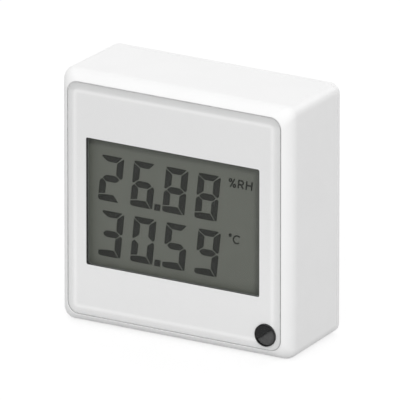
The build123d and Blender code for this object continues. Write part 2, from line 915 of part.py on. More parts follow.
def pieces():
    """Every node's name with its shape."""
    upper_z, lower_z = connector_places()
    return {
        "front_shell": front_shell(),
        "front_lens": front_lens(),
        "display_mask": display_mask(),
        "lens_adhesive": lens_adhesive(),
        "port_housing": port_housing(),
        "port_window": port_window(),
        "port_mesh": port_mesh(),
        "sensor_gasket": sensor_gasket(),
        "lcd_gasket": lcd_gasket(),
        "lcd_front_polarizer": lcd_front_polarizer(),
        "lcd_front_glass": lcd_front_glass(),
        "lcd_rear_glass": lcd_rear_glass(),
        "lcd_reflector": lcd_reflector(),
        "lcd_bracket": lcd_bracket(),
        "zebra_strip_upper": zebra_strip(upper_z),
        "zebra_strip_lower": zebra_strip(lower_z),
        "main_board": main_board(),
        "humidity_chip": humidity_chip(),
        "light_sensor": light_sensor(),
        "controller_chip": controller_chip(),
        "board_capacitors": board_capacitors(),
        "radio_module": radio_module(),
        "radio_shield": radio_shield(),
        "board_screws": board_screws(),
        "pairing_switch": pairing_switch(),
        "switch_plunger": switch_plunger(),
        "pairing_button": pairing_button(),
        "battery_tray": battery_tray(),
        "tray_screws": tray_screws(),
        "battery_upper": cell(upper_cell_z, left_end),
        "battery_lower": cell(lower_cell_z, right_end),
        "positive_contact": positive_contact(),
        "negative_contact": negative_contact(),
        "bridge_contact": bridge_contact(),
        "back_cover": back_cover(),
        "cover_catches": cover_catches(),
    }


os.makedirs("parts", exist_ok=True)
for node, shape in pieces().items():
    export_step(shape, f"parts/{node}.step")
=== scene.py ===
"""Looks of a square temperature and humidity sensor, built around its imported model.

Everything is in metres, in the model's own frame: +X is the viewer's right, the display looks
along -Y and +Z is up. Each sub-assembly is a class that holds its sizes, takes its places from
the frame, builds its meshes and gives them their finishes.
"""

import logging
import math
from dataclasses import dataclass
from enum import Enum
from typing import Any, Iterable, Sequence

import bmesh
import bpy
import numpy as np
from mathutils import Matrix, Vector
from mathutils.geometry import tessellate_polygon


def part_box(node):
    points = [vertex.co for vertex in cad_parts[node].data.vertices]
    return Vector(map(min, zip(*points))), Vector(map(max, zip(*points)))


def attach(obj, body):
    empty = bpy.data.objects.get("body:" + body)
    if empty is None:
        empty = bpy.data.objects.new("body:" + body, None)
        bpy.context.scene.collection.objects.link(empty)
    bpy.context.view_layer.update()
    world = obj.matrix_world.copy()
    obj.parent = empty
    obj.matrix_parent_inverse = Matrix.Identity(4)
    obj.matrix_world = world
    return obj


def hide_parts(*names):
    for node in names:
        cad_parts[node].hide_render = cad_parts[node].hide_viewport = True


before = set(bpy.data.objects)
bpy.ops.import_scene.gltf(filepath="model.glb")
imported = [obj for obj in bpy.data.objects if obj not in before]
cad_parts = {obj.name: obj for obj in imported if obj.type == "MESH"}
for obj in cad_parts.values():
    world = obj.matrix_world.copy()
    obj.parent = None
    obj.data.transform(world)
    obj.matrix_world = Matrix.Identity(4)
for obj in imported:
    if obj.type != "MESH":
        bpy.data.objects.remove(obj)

MM = 0.001
WELD_DISTANCE = 1e-6
SHARP_ANGLE = math.radians(32)

# How far a cutting solid goes past what it cuts
CUT_PAST = 1 * MM

# Numbers of a Mix node's colour sockets, whose names repeat for each kind of value
MIX_FACTOR = 0
MIX_FIRST = 6
MIX_SECOND = 7
MIX_RESULT = 2

log = logging.getLogger("sensor")


# Shader maths


class Signal:
    """A shader socket that takes part in Python sums, so that 1 - mask adds its Math node."""

    def __init__(self, graph: "Graph", socket: bpy.types.NodeSocket) -> None:
        """Wraps a socket.

        Args:
            graph: The graph that the socket's node belongs to.
            socket: The output socket.
        """
        self.graph = graph
        self.socket = socket

    def maths(self, operation: str, *terms: "Signal | float") -> "Signal":
        """Adds one Math node.

        Args:
            operation: The node's operation.
            terms: Its inputs, in order.

        Returns:
            The node's result.
        """
        inputs = dict(enumerate(terms))
        return self.graph.node("ShaderNodeMath", {"operation": operation}, inputs)

    def __add__(self, other: "Signal | float") -> "Signal":
        """Sum."""
        return self.maths("ADD", self, other)

    __radd__ = __add__

    def __sub__(self, other: "Signal | float") -> "Signal":
        """Difference."""
        return self.maths("SUBTRACT", self, other)

    def __rsub__(self, other: float) -> "Signal":
        """Difference from a number."""
        return self.maths("SUBTRACT", other, self)

    def __mul__(self, other: "Signal | float") -> "Signal":
        """Product."""
        return self.maths("MULTIPLY", self, other)

    __rmul__ = __mul__

    def __truediv__(self, other: "Signal | float") -> "Signal":
        """Quotient."""
        return self.maths("DIVIDE", self, other)

    def __abs__(self) -> "Signal":
        """Size without its sign."""
        return self.maths("ABSOLUTE", self)

    def larger(self, other: "Signal | float") -> "Signal":
        """The larger of two values."""
        return self.maths("MAXIMUM", self, other)

    def above(self, limit: float) -> "Signal":
        """1 where the value is over a limit, 0 elsewhere."""
        return self.maths("GREATER_THAN", self, limit)

    def wave(self) -> "Signal":
        """Sine."""
        return self.maths("SINE", self)

    def ramp(self, low: float, high: float, start: float = 0.0, end: float = 1.0) -> "Signal":
        """Runs smoothly from start to end while the value goes from low to high.

        Args:
            low: Value at which the result is start.
            high: Value at which the result is end.
            start: First result.
            end: Last result.

        Returns:
            The mapped value, held at its ends.
        """
        settings = {"interpolation_type": "SMOOTHSTEP", "clamp": True}
        sockets = {"Value": self, "From Min": low, "From Max": high, "To Min": start, "To Max": end}
        return self.graph.node("ShaderNodeMapRange", settings, sockets)


class Graph:
    """The node tree of one material, or of the world."""

    def __init__(self, owner: bpy.types.Material | bpy.types.World) -> None:
        """Starts with an empty tree on its owner.

        Args:
            owner: The material or the world.
        """
        owner.use_nodes = True
        self.owner = owner
        self.tree = owner.node_tree
        self.tree.nodes.clear()

    def node(
        self,
        kind: str,
        settings: dict[str, Any] | None = None,
        sockets: dict[str | int, Any] | None = None,
        output: str | int = 0,
    ) -> Signal:
        """Adds a node.

        Args:
            kind: The node's type.
            settings: Its own properties, set first.
            sockets: Values or links of its inputs, by name or number.
            output: The output that is returned.

        Returns:
            The chosen output, if the node has any.
        """
        node = self.tree.nodes.new(kind)
        for name, value in (settings or {}).items():
            setattr(node, name, value)
        for name, value in (sockets or {}).items():
            if isinstance(value, Signal):
                self.tree.links.new(value.socket, node.inputs[name])
            else:
                node.inputs[name].default_value = value
        return Signal(self, node.outputs[output] if node.outputs else None)

    def place(self) -> Signal:
        """Position on the object, in metres."""
        return self.node("ShaderNodeTexCoord", output="Object")

    def axis(self, name: str) -> Signal:
        """One coordinate of the position on the object, X, Y or Z."""
        return self.node("ShaderNodeSeparateXYZ", sockets={0: self.place()}, output=name)

    def noise(
        self, size: float, detail: float = 2.0, stretch: Sequence[float] = (1, 1, 1)
    ) -> Signal:
        """Soft noise from 0 to 1.

        Args:
            size: Width of its features, in metres.
            detail: Number of finer octaves.
            stretch: Factors on the coordinates, to draw the noise out along an axis.

        Returns:
            The noise.
        """
        place = self.node("ShaderNodeMapping", sockets={"Vector": self.place(), "Scale": stretch})
        sockets = {"Vector": place, "Scale": 1 / size, "Detail": detail}
        return self.node("ShaderNodeTexNoise", sockets=sockets)

    def blend(self, mask: Signal, first: Sequence[float], second: Sequence[float]) -> Signal:
        """The first colour where a mask is 0, the second where it is 1, and a mix between."""
        sockets = {MIX_FACTOR: mask, MIX_FIRST: (*first, 1), MIX_SECOND: (*second, 1)}
        return self.node("ShaderNodeMix", {"data_type": "RGBA"}, sockets, MIX_RESULT)

    def bump(self, height: Signal, depth: float) -> Signal:
        """A normal that stands for small unevenness of a given depth, in metres."""
        return self.node("ShaderNodeBump", sockets={"Height": height, "Distance": depth})

    def finish(
        self, shader: Signal, kind: str = "Material"
    ) -> bpy.types.Material | bpy.types.World:
        """Connects the last shader to an output.

        Args:
            shader: The shader.
            kind: The output's kind, Material or World.

        Returns:
            The tree's owner.
        """
        self.node(f"ShaderNodeOutput{kind}", sockets={"Surface": shader})
        return self.owner


# Finishes


PATCH_WIDTH = 9 * MM
WEAR_WIDTH = 4 * MM


def rgb(red: float, green: float, blue: float) -> tuple[float, float, float]:
    """Linear colour from display levels of 0 to 255.

    Each level is divided by 255, and the display's curve is undone: a straight part near black
    and a power of 2.4 above it.

    Args:
        red: Red level.
        green: Green level.
        blue: Blue level.

    Returns:
        The three linear shares.
    """
    levels = (level / 255 for level in (red, green, blue))
    return tuple(s / 12.92 if s < 0.04045 else ((s + 0.055) / 1.055) ** 2.4 for s in levels)


def shaded(colour: Sequence[float], factor: float) -> tuple[float, ...]:
    """A colour made darker or lighter by a factor, no brighter than white."""
    return tuple(min(1.0, share * factor) for share in colour)


class Grain(Enum):
    """Texture of a surface: the width of its features and their depth, in metres."""

    CLEAR = (6 * MM, 0.0002 * MM)
    POLISHED = (0.9 * MM, 0.0006 * MM)
    SATIN = (0.16 * MM, 0.0022 * MM)
    SPARK = (0.28 * MM, 0.006 * MM)
    ROLLED = (0.08 * MM, 0.0015 * MM)
    FOAM = (0.3 * MM, 0.03 * MM)


@dataclass(frozen=True)
class Finish:
    """A plain finish: one colour that varies a little, with a fine texture."""

    name: str
    colour: tuple[float, float, float]
    roughness: float = 0.45
    metallic: float = 0.0
    grain: Grain = Grain.SATIN
    variation: float = 0.02
    roughness_variation: float = 0.05
    coat: float = 0.0
    alpha: float = 1.0
    gloss: float = 0.5

    def tint(self, graph: Graph) -> Signal:
        """The base colour: broad soft patches a little darker and lighter than the mean.

        Args:
            graph: The material's graph.

        Returns:
            The colour.
        """
        patches = graph.noise(PATCH_WIDTH, 3.0).ramp(0.3, 0.7)
        dark = shaded(self.colour, 1 - self.variation)
        return graph.blend(patches, dark, shaded(self.colour, 1 + self.variation))

    def relief(self, graph: Graph) -> Signal:
        """The height of the surface texture, from 0 to 1."""
        return graph.noise(self.grain.value[0], 2.0)

    def cover(self, graph: Graph) -> "Signal | float":
        """The share of light that the surface stops."""
        return self.alpha

    def build(self) -> bpy.types.Material:
        """Makes the material.

        Returns:
            A material whose colour, roughness and normal vary over the surface.
        """
        graph = Graph(bpy.data.materials.new(self.name))
        wear = graph.noise(WEAR_WIDTH, 4.0).ramp(0.25, 0.75, -1.0, 1.0)
        sockets = {
            "Base Color": self.tint(graph),
            "Roughness": self.roughness + wear * self.roughness_variation,
            "Metallic": self.metallic,
            "Coat Weight": self.coat,
            "Specular IOR Level": self.gloss,
            "Alpha": self.cover(graph),
            "Normal": graph.bump(self.relief(graph), self.grain.value[1]),
        }
        return graph.finish(graph.node("ShaderNodeBsdfPrincipled", sockets=sockets))


@dataclass(frozen=True)
class Striped(Finish):
    """Bands of two colours along X, as on a layered rubber connector."""

    second: tuple[float, float, float] = (0.0, 0.0, 0.0)
    pitch: float = 0.1 * MM
    blur: float = 0.2

    def tint(self, graph: Graph) -> Signal:
        """Two colours that follow the sign of a sine along X, with a narrow change."""
        bands = (graph.axis("X") * (math.tau / self.pitch)).wave().ramp(-self.blur, self.blur)
        return graph.blend(bands, self.colour, self.second)


@dataclass(frozen=True)
class Laminate(Finish):
    """Solder resist over copper tracks that run along X and Z."""

    copper: tuple[float, float, float] = (0.0, 0.0, 0.0)
    pitch: float = 1.9 * MM
    drawn_out: float = 5.0
    waves: float = 30.0
    limit_along: float = 0.75
    limit_across: float = 0.82
    grain_share: float = 0.2

    def tracks(self, graph: Graph) -> Signal:
        """1 on the tracks, which are level lines of two noises.

        One noise is drawn out along X and the other along Z. The sine of each one times a large
        number passes a limit on narrow lines, which bend as tracks do.

        Args:
            graph: The material's graph.

        Returns:
            The mask.
        """
        width = 3 * self.pitch
        along = graph.noise(width, 0.0, (1, 1, self.drawn_out)) * self.waves
        across = graph.noise(width, 0.0, (self.drawn_out, 1, 1)) * self.waves
        lines = along.wave().above(self.limit_along) + across.wave().above(self.limit_across)
        return lines.ramp(0.0, 1.0)

    def tint(self, graph: Graph) -> Signal:
        """The resist, lighter where a track lies under it."""
        return graph.blend(self.tracks(graph), self.colour, self.copper)

    def relief(self, graph: Graph) -> Signal:
        """The tracks stand a little proud under the resist."""
        return self.tracks(graph) + graph.noise(self.grain.value[0]) * self.grain_share


@dataclass(frozen=True)
class Brushed(Finish):
    """Rolled or plated metal, with fine lines along X."""

    line_factor: float = 0.06

    def relief(self, graph: Graph) -> Signal:
        """Noise drawn out along X, by a small factor on that coordinate."""
        return graph.noise(self.grain.value[0], 3.0, (self.line_factor, 1, 1))


@dataclass(frozen=True)
class Woven(Finish):
    """Fine threads whose colour varies from place to place."""

    patch: float = 0.5 * MM
    dark: float = 0.6
    light: float = 1.4

    def tint(self, graph: Graph) -> Signal:
        """Small uneven patches."""
        first, second = shaded(self.colour, self.dark), shaded(self.colour, self.light)
        return graph.blend(graph.noise(self.patch), first, second)


@dataclass(frozen=True)
class Jacket(Finish):
    """Printed sleeve of a cell: a coloured body with a pale band towards one end."""

    band: tuple[float, float, float] = (0.0, 0.0, 0.0)
    band_start: float = 0.0
    band_end: float = 1.0
    way: float = 1.0
    ends: tuple[float, float] = (-1.0, 1.0)

    def tint(self, graph: Graph) -> Signal:
        """The band's colour along part of the cell and on its bare ends, the body's elsewhere.

        Args:
            graph: The material's graph.

        Returns:
            The colour.
        """
        along = graph.axis("X") * self.way
        inside = along.above(self.band_start) * (1 - along.above(self.band_end))
        bare = 1 - along.above(self.ends[0]) * (1 - along.above(self.ends[1]))
        return graph.blend(inside.larger(bare), self.colour, self.band)


@dataclass(frozen=True)
class TopShaded(Finish):
    """A finish with painted shade that makes it a little darker towards its top."""

    foot: float = 0.0
    top: float = 1.0
    top_shade: float = 1.0

    def tint(self, graph: Graph) -> Signal:
        """The colour, with painted shade that grows with the height."""
        height = graph.axis("Z").ramp(self.foot, self.top)
        return graph.blend(height, self.colour, shaded(self.colour, self.top_shade))


@dataclass(frozen=True)
class Framed(Finish):
    """A finish that changes towards the sides of a rounded rectangle.

    The colour takes edge_shade within fade of the sides, as painted shade. Where edge_start is
    given, the sides have a rim of that width whose own alpha paints shade, a clear line inside it
    that paints a highlight, and a lip at its edge that paints a shadow line.
    """

    centre: tuple[float, float] = (0.0, 0.0)
    half: tuple[float, float] = (0.0, 0.0)
    corner: float = 0.0
    fade: float = 1 * MM
    edge_shade: float = 1.0
    rim_shade_alpha: float = 1.0
    top_shade_alpha: float = 0.0
    edge_start: float = 0.0
    inner_share: float = 0.6
    lip_share: float = 0.1
    lip_shadow_alpha: float = 0.0
    lip_depth: float = 0.0

    def beyond(self, graph: Graph) -> Signal:
        """How far out a point lies from the rounded rectangle, in metres: negative inside it.

        With each coordinate taken from the centre of the nearest corner's circle, it is the
        length of their positive parts, plus the larger one where both are negative, minus the
        circle's radius.

        Args:
            graph: The material's graph.

        Returns:
            The distance.
        """
        x, z = (
            abs(graph.axis(name) - centre) - (half - self.corner)
            for name, centre, half in zip("XZ", self.centre, self.half)
        )
        out_x, out_z = x.larger(0.0), z.larger(0.0)
        length = x.maths("SQRT", out_x * out_x + out_z * out_z)
        return length + x.maths("MINIMUM", x.larger(z), 0.0) - self.corner

    def tint(self, graph: Graph) -> Signal:
        """The colour, with painted shade at the sides."""
        rim = self.beyond(graph).ramp(-self.fade, 0.0)
        return graph.blend(rim, self.colour, shaded(self.colour, self.edge_shade))

    def cover(self, graph: Graph) -> "Signal | float":
        """The share of light that the surface stops.

        It is alpha inside, falls to none on a line before the rim, which paints a highlight, and
        grows over the rim's start and then over its width, which paints shade on the rim. The top
        of the rim stops top_shade_alpha more, as painted shade. The lip, the outermost part of the
        rim, stops lip_shadow_alpha more, as a painted shadow line, but not at the top, and only in
        front of lip_depth.

        Args:
            graph: The material's graph.

        Returns:
            The share, from 0 to 1.
        """
        if not self.edge_start:
            return self.alpha
        beyond = self.beyond(graph)
        place = beyond + self.edge_start
        step = self.fade / 4
        inner = place.ramp(-step, step)
        outer = place.ramp(-step, self.edge_start)
        # Painted highlight: a clear line inside the rim where the alpha falls to none
        line = place.ramp(-4.5 * step, -3 * step)
        rim = inner * self.inner_share + outer * (1 - self.inner_share)
        top = self.centre[1] + self.half[1]
        high = graph.axis("Z").ramp(top - 1.5 * self.edge_start, top - self.edge_start)
        # Painted shade on the rim band, more at its top
        edge = self.rim_shade_alpha + high * self.top_shade_alpha
        width = self.lip_share * self.edge_start
        front = 1 - graph.axis("Y").above(self.lip_depth)
        # Painted shadow line along the lip, left out at the top
        lip = beyond.ramp(-width, -0.4 * width) * (1 - high) * front
        return (1 - inner) * (1 - line) * self.alpha + rim * edge + lip * self.lip_shadow_alpha


HOUSING_WHITE = Finish(
    "housing_white", rgb(246, 246, 246), roughness=0.42, variation=0.006, roughness_variation=0.03
)
# The white print carries painted shade: it grows a little darker towards its top
PRINT_WHITE = TopShaded(
    "print_white", rgb(251, 251, 251), roughness=0.6, foot=10 * MM, top=56 * MM, top_shade=0.92
)
CLEAR_GLUE = Finish("clear_glue", rgb(190, 190, 186), roughness=0.3, grain=Grain.FOAM)
PORT_BLACK = Finish(
    "port_black", rgb(24, 24, 24), roughness=0.5, grain=Grain.SPARK, variation=0.1, gloss=0.3
)
PORT_GLASS = Finish(
    "port_glass", rgb(20, 20, 21), roughness=0.25, grain=Grain.POLISHED, gloss=0.25
)
VENT_CLOTH = Woven("vent_cloth", rgb(98, 98, 98), roughness=0.8, gloss=0.3)
SEAL_BLACK = Finish(
    "seal_black", rgb(70, 70, 70), roughness=0.9, grain=Grain.FOAM, variation=0.12
)
DISPLAY_GLASS = Finish(
    "display_glass", rgb(225, 232, 226), roughness=0.08, grain=Grain.POLISHED, alpha=0.35
)
REFLECTOR = Brushed(
    "display_reflector", rgb(120, 124, 112), roughness=0.4, grain=Grain.ROLLED
)
SEGMENT_INK = Finish("segment_ink", rgb(40, 41, 38), roughness=0.6, variation=0.04, gloss=0.2)
BRACKET = Finish("bracket_white", rgb(222, 222, 218), roughness=0.6, grain=Grain.SPARK)
ZEBRA = Striped(
    "zebra_rubber", rgb(196, 150, 140), roughness=0.7, grain=Grain.FOAM, second=rgb(60, 50, 50)
)
BOARD = Laminate(
    "board_resist", rgb(16, 84, 48), roughness=0.35, grain=Grain.SPARK, copper=rgb(30, 110, 66)
)
EPOXY = Finish(
    "chip_epoxy", rgb(38, 38, 40), roughness=0.55, grain=Grain.SPARK, variation=0.08
)
SENSOR_EPOXY = Finish(
    "sensor_epoxy", rgb(52, 52, 56), roughness=0.5, grain=Grain.SPARK, variation=0.08
)
CAPACITOR = Finish(
    "capacitor_brown", rgb(170, 140, 108), roughness=0.4, grain=Grain.SPARK, variation=0.1
)
TINNED = Brushed(
    "tinned_steel", rgb(205, 205, 200), roughness=0.3, metallic=1.0, grain=Grain.ROLLED,
    variation=0.05,
)
ZINC = Brushed(
    "zinc_steel", rgb(190, 192, 196), roughness=0.34, metallic=1.0, grain=Grain.ROLLED,
    variation=0.06,
)
NICKEL = Brushed(
    "nickel_steel", rgb(214, 211, 202), roughness=0.22, metallic=1.0, grain=Grain.ROLLED,
    variation=0.04,
)
SWITCH_BLACK = Finish(
    "switch_black", rgb(44, 44, 44), roughness=0.5, grain=Grain.SPARK, variation=0.08
)
BUTTON_GREY = Finish(
    "button_grey", rgb(196, 198, 199), roughness=0.5, grain=Grain.SPARK, variation=0.01
)
TRAY_WHITE = Finish(
    "tray_white", rgb(228, 228, 226), roughness=0.55, grain=Grain.SPARK, variation=0.012
)


# Surfaces


CORNER_STEPS = 12
SIDE_STEPS = 12
ROUNDING_STEPS = 18
EASING_STEPS = 6
TURNED_STEPS = 64
HOLE_STEPS = 48
BOSS_STEPS = 32
QUADRANTS = np.array([(1, 1), (-1, 1), (-1, -1), (1, -1)])


def rounded_outline(half_x: Any, half_z: Any, corner: Any) -> np.ndarray:
    """Rounded rectangles about the origin.

    Each corner is a quarter circle: its centre lies in from the sharp corner by the radius both
    ways, and its points go round it by equal angles. Each side between two corners is divided
    into equal steps.

    Args:
        half_x: Half widths.
        half_z: Half heights.
        corner: Corner radii.

    Returns:
        One row of x, z points for each set of sizes.
    """
    sizes = np.broadcast_arrays(*(np.atleast_1d(size) for size in (half_x, half_z, corner)))
    half_x, half_z, corner = (size[:, None] for size in sizes)
    turn = np.linspace(0, np.pi / 2, CORNER_STEPS + 1)
    angle = (np.arange(4)[:, None] * np.pi / 2 + turn).ravel()
    side = np.repeat(QUADRANTS, CORNER_STEPS + 1, axis=0)
    x = side[:, 0] * (half_x - corner) + corner * np.cos(angle)
    z = side[:, 1] * (half_z - corner) + corner * np.sin(angle)
    corners = np.stack([x, z], axis=-1).reshape(-1, 4, CORNER_STEPS + 1, 2)
    share = (np.arange(1, SIDE_STEPS) / SIDE_STEPS)[:, None]
    following = np.roll(corners[:, :, :1], -1, axis=1)
    straight = corners[:, :, -1:] * (1 - share) + following * share
    return np.concatenate([corners, straight], axis=2).reshape(len(corners), -1, 2)


def at_depth(outline: np.ndarray, y: Any, centre: tuple[float, float] = (0.0, 0.0)) -> np.ndarray:
    """Sets flat outlines across the object, each at its depth.

    Args:
        outline: Rows of x, z points.
        y: Depth of each row.
        centre: Place of the outlines' middle, as x and z.

    Returns:
        Rows of x, y, z points.
    """
    depth = np.broadcast_to(np.atleast_1d(y)[:, None], outline.shape[:2])
    return np.stack([outline[..., 0] + centre[0], depth, outline[..., 1] + centre[1]], axis=-1)


def circle(radius: Any, steps: int) -> np.ndarray:
    """Circles about the origin as rows of x, z points: radius times cosine and sine."""
    angle = np.arange(steps) * math.tau / steps
    return np.atleast_1d(radius)[:, None, None] * np.stack([np.cos(angle), np.sin(angle)], -1)


def turned(
    profile: Iterable[tuple[float, float]], centre: Sequence[float], steps: int = TURNED_STEPS
) -> np.ndarray:
    """A surface of revolution about a line along Y.

    Args:
        profile: Radius and depth of each ring.
        centre: The line's place, as x and z.
        steps: Points in a ring.

    Returns:
        Rings of points.
    """
    radius, y = np.array(list(profile)).T
    return at_depth(circle(radius, steps), y, (centre[0], centre[1]))


def arc(start: float, end: float, radius: float, steps: int) -> np.ndarray:
    """Points of an arc about the origin, from one angle to another, in degrees."""
    angle = np.radians(np.linspace(start, end, steps))
    return radius * np.stack([np.cos(angle), np.sin(angle)], axis=-1)


class Draft:
    """Points and faces of one piece while it is drawn."""

    def __init__(self) -> None:
        """Starts with nothing."""
        self.points: list[np.ndarray] = []
        self.faces: list[list[int]] = []

    def _start(self, points: np.ndarray) -> int:
        """Adds points.

        Args:
            points: The points, in any grid.

        Returns:
            The number of the first one.
        """
        first = sum(len(block) for block in self.points)
        self.points.append(points.reshape(-1, 3))
        return first

    def rings(self, grid: np.ndarray, closed: bool = False) -> "Draft":
        """Joins closed rings, row to row.

        Args:
            grid: Rows of points, as many in each row.
            closed: Also joins the last row to the first.

        Returns:
            The draft.
        """
        rows, columns = grid.shape[:2]
        index = self._start(grid) + np.arange(rows * columns).reshape(rows, columns)
        if closed:
            index = np.vstack([index, index[:1]])
        near, far = index[:-1], index[1:]
        quads = np.stack([near, np.roll(near, -1, 1), np.roll(far, -1, 1), far], axis=-1)
        self.faces += quads.reshape(-1, 4).tolist()
        return self

    def flat(self, edge: np.ndarray, holes: Sequence[np.ndarray] = ()) -> "Draft":
        """Fills a flat outline, with one face if it has no holes.

        Args:
            edge: Its points.
            holes: Outlines that stay open.

        Returns:
            The draft.
        """
        loops = [edge, *holes]
        first = self._start(np.concatenate(loops))
        drawn = [range(len(edge))]
        if holes:
            drawn = tessellate_polygon([[Vector(point) for point in loop] for loop in loops])
        self.faces += [[first + corner for corner in face] for face in drawn]
        return self

    def capped(self, grid: np.ndarray) -> "Draft":
        """Joins closed rings and fills the first and the last."""
        return self.rings(grid).flat(grid[0]).flat(grid[-1])

    def box(self, low: Sequence[float], high: Sequence[float]) -> "Draft":
        """Adds a box, as two capped rings.

        Args:
            low: Its corner with the least coordinates.
            high: The opposite corner.

        Returns:
            The draft.
        """
        low, high = np.array(low), np.array(high)
        half = (high - low) / 2
        square = QUADRANTS[None] * np.array([half[0], half[2]])
        rings = at_depth(np.repeat(square, 2, 0), (low[1], high[1]), tuple((low + half)[[0, 2]]))
        return self.capped(rings)

    def build(self, name: str) -> bpy.types.Object:
        """Makes the mesh object.

        Args:
            name: Its name.

        Returns:
            The object, linked to the scene, with welded points and outward faces.
        """
        mesh = bpy.data.meshes.new(name)
        mesh.from_pydata(np.concatenate(self.points), [], self.faces)
        tidy_mesh(mesh)
        return added(name, mesh)


def tidy_mesh(mesh: bpy.types.Mesh, angle: float = SHARP_ANGLE) -> None:
    """Welds a mesh, turns its faces outwards and keeps only its true edges sharp.

    Args:
        mesh: The mesh, changed in place.
        angle: Least angle between faces at a sharp edge.
    """
    work = bmesh.new()
    work.from_mesh(mesh)
    bmesh.ops.remove_doubles(work, verts=work.verts, dist=WELD_DISTANCE)
    bmesh.ops.dissolve_degenerate(work, edges=work.edges, dist=WELD_DISTANCE)
    bmesh.ops.recalc_face_normals(work, faces=work.faces)
    for face in work.faces:
        face.smooth = True
    for edge in work.edges:
        edge.smooth = edge.is_manifold and edge.calc_face_angle(0.0) < angle
    work.to_mesh(mesh)
    work.free()


def carved(made: bpy.types.Object, cutters: Sequence[bpy.types.Object]) -> bpy.types.Object:
    """Cuts solids out of a closed mesh.

    Args:
        made: The object to cut.
        cutters: Closed objects, which are deleted afterwards.

    Returns:
        The cut object.
    """
    for cutter in cutters:
        cut = made.modifiers.new(cutter.name, "BOOLEAN")
        cut.operation = "DIFFERENCE"
        cut.object = cutter
        cut.solver = "EXACT"
    state = bpy.context.evaluated_depsgraph_get()
    mesh = bpy.data.meshes.new_from_object(made.evaluated_get(state))
    made.modifiers.clear()
    made.data = mesh
    tidy_mesh(mesh)
    for cutter in cutters:
        bpy.data.objects.remove(cutter)
    return made


def placed(
    made: bpy.types.Object,
    finish: Finish,
    body: str,
    replaced: Sequence[str] = (),
) -> bpy.types.Object:
    """Gives a new piece its finish, its body and its even shading.

    Args:
        made: The piece.
        finish: Its finish.
        body: The body that it rides on.
        replaced: Nodes that it stands for.

    Returns:
        The piece.
    """
    made.data.materials.clear()
    made.data.materials.append(material_of(finish))
    even = made.modifiers.new("even_shading", "WEIGHTED_NORMAL")
    even.keep_sharp = True
    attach(made, body)
    if replaced:
        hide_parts(*replaced)
    log.info("piece %s: %d faces on body %s", made.name, len(made.data.polygons), body)
    return made


def added(name: str, data: bpy.types.ID) -> bpy.types.Object:
    """Makes an object with its data and links it to the scene.

    Args:
        name: Its name.
        data: Its mesh, lamp or camera.

    Returns:
        The object.
    """
    made = bpy.data.objects.new(name, data)
    bpy.context.scene.collection.objects.link(made)
    return made


def middle_of(node: str) -> tuple[float, float]:
    """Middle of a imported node's box, as x and z."""
    low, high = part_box(node)
    return (low.x + high.x) / 2, (low.z + high.z) / 2


_materials: dict[Finish, bpy.types.Material] = {}


def material_of(finish: Finish) -> bpy.types.Material:
    """The one material of a finish, made when it is first asked for."""
    if finish not in _materials:
        _materials[finish] = finish.build()
    return _materials[finish]


def dress(node: str, finish: Finish) -> None:
    """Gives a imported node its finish, in every slot that it has.

    Args:
        node: The node.
        finish: Its finish.
    """
    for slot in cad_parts[node].material_slots:
        slot.material = material_of(finish)
    log.info("node %s: %s", node, finish.name)


# Sub-assemblies


@dataclass
class Outside:
    """Sizes that the housing, the lens and the cover share."""

    width: float = 65 * MM
    height: float = 65 * MM
    corner: float = 2.6 * MM
    draft: float = math.radians(0.785)
    front_rounding: float = 4.4 * MM
    lens_margin: float = 2.35 * MM
    lens_corner: float = 3.0 * MM
    lens_rise: float = 0.6 * MM
    film_overlap: float = 0.4 * MM
    port_radius: float = 2.9 * MM
    seam_gap: float = 0.1 * MM
    seam_groove: float = 0.15 * MM
    seam_depth: float = 0.3 * MM
    wall: float = 2.1 * MM
    inner_corner: float = 1.2 * MM
    easing: float = 0.06 * MM
    chamfer: float = 0.18 * MM
    boss_inset: float = 5.9 * MM
    port_boss_step: float = 10 * MM
    top_post: float = 13 * MM
    foot_post: float = 8 * MM
    catch_places: tuple[float, float] = (-17 * MM, 17 * MM)
    catch_half: float = 3.5 * MM
    catch_thickness: float = 0.9 * MM

    def __post_init__(self) -> None:
        """Takes the depths from the frame and works out the places of the bosses and posts."""
        self.lens_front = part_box("front_lens")[0].y
        self.rim = self.lens_front + self.lens_rise
        self.recess_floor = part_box("lens_adhesive")[1].y
        self.wall_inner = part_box("lcd_gasket")[0].y
        self.shell_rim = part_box("front_shell")[1].y
        self.seam = self.shell_rim + self.seam_gap
        self.cover_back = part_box("back_cover")[1].y
        reach = self.front_rounding - self.lens_margin
        fall = self.front_rounding - math.sqrt(self.front_rounding**2 - reach**2)
        self.shell_front = self.rim - fall
        self.widest = self.shell_front + self.front_rounding
        self.port = middle_of("port_housing")
        side, foot = self.width / 2 - self.boss_inset, self.boss_inset
        top = self.height - foot
        by_port = self.port[0] - self.port_boss_step
        self.bosses = [(-side, top), (side, top), (-side, foot), (by_port, foot)]
        self.posts = [(-self.top_post, top), (self.top_post, top), (-self.foot_post, foot)]

    def drafted(self, y: float) -> float:
        """How far the draft has drawn the outline in at a depth behind the widest one."""
        return (y - self.widest) * math.tan(self.draft)

    def rings(self, inset: Any, y: Any, corner: Any) -> np.ndarray:
        """Square rings with rounded corners.

        Args:
            inset: Distance of each ring from the widest outline.
            y: Depth of each ring.
            corner: Corner radius of each ring.

        Returns:
            Rings of points.
        """
        inset = np.asarray(inset)
        outline = rounded_outline(self.width / 2 - inset, self.height / 2 - inset, corner)
        return at_depth(outline, y, (0.0, self.height / 2))

    def port_hole(self, y: Any) -> np.ndarray:
        """Rings of the hole for the sensor port, one at each depth."""
        radius = np.full(np.shape(y), self.port_radius)
        return at_depth(circle(radius, HOLE_STEPS), y, self.port)

    def at_catches(self, front: float, back: float, reach: float) -> Draft:
        """Boxes across the wall's inner face, one at each catch.

        Args:
            front: Depth of their front.
            back: Depth of their back.
            reach: How far they go to both sides of the face.

        Returns:
            A draft of the boxes.
        """
        boxes = Draft()
        for x in self.catch_places:
            for face in (self.wall, self.height - self.wall):
                low = (x - self.catch_half, front, face - reach)
                boxes.box(low, (x + self.catch_half, back, face + reach))
        return boxes


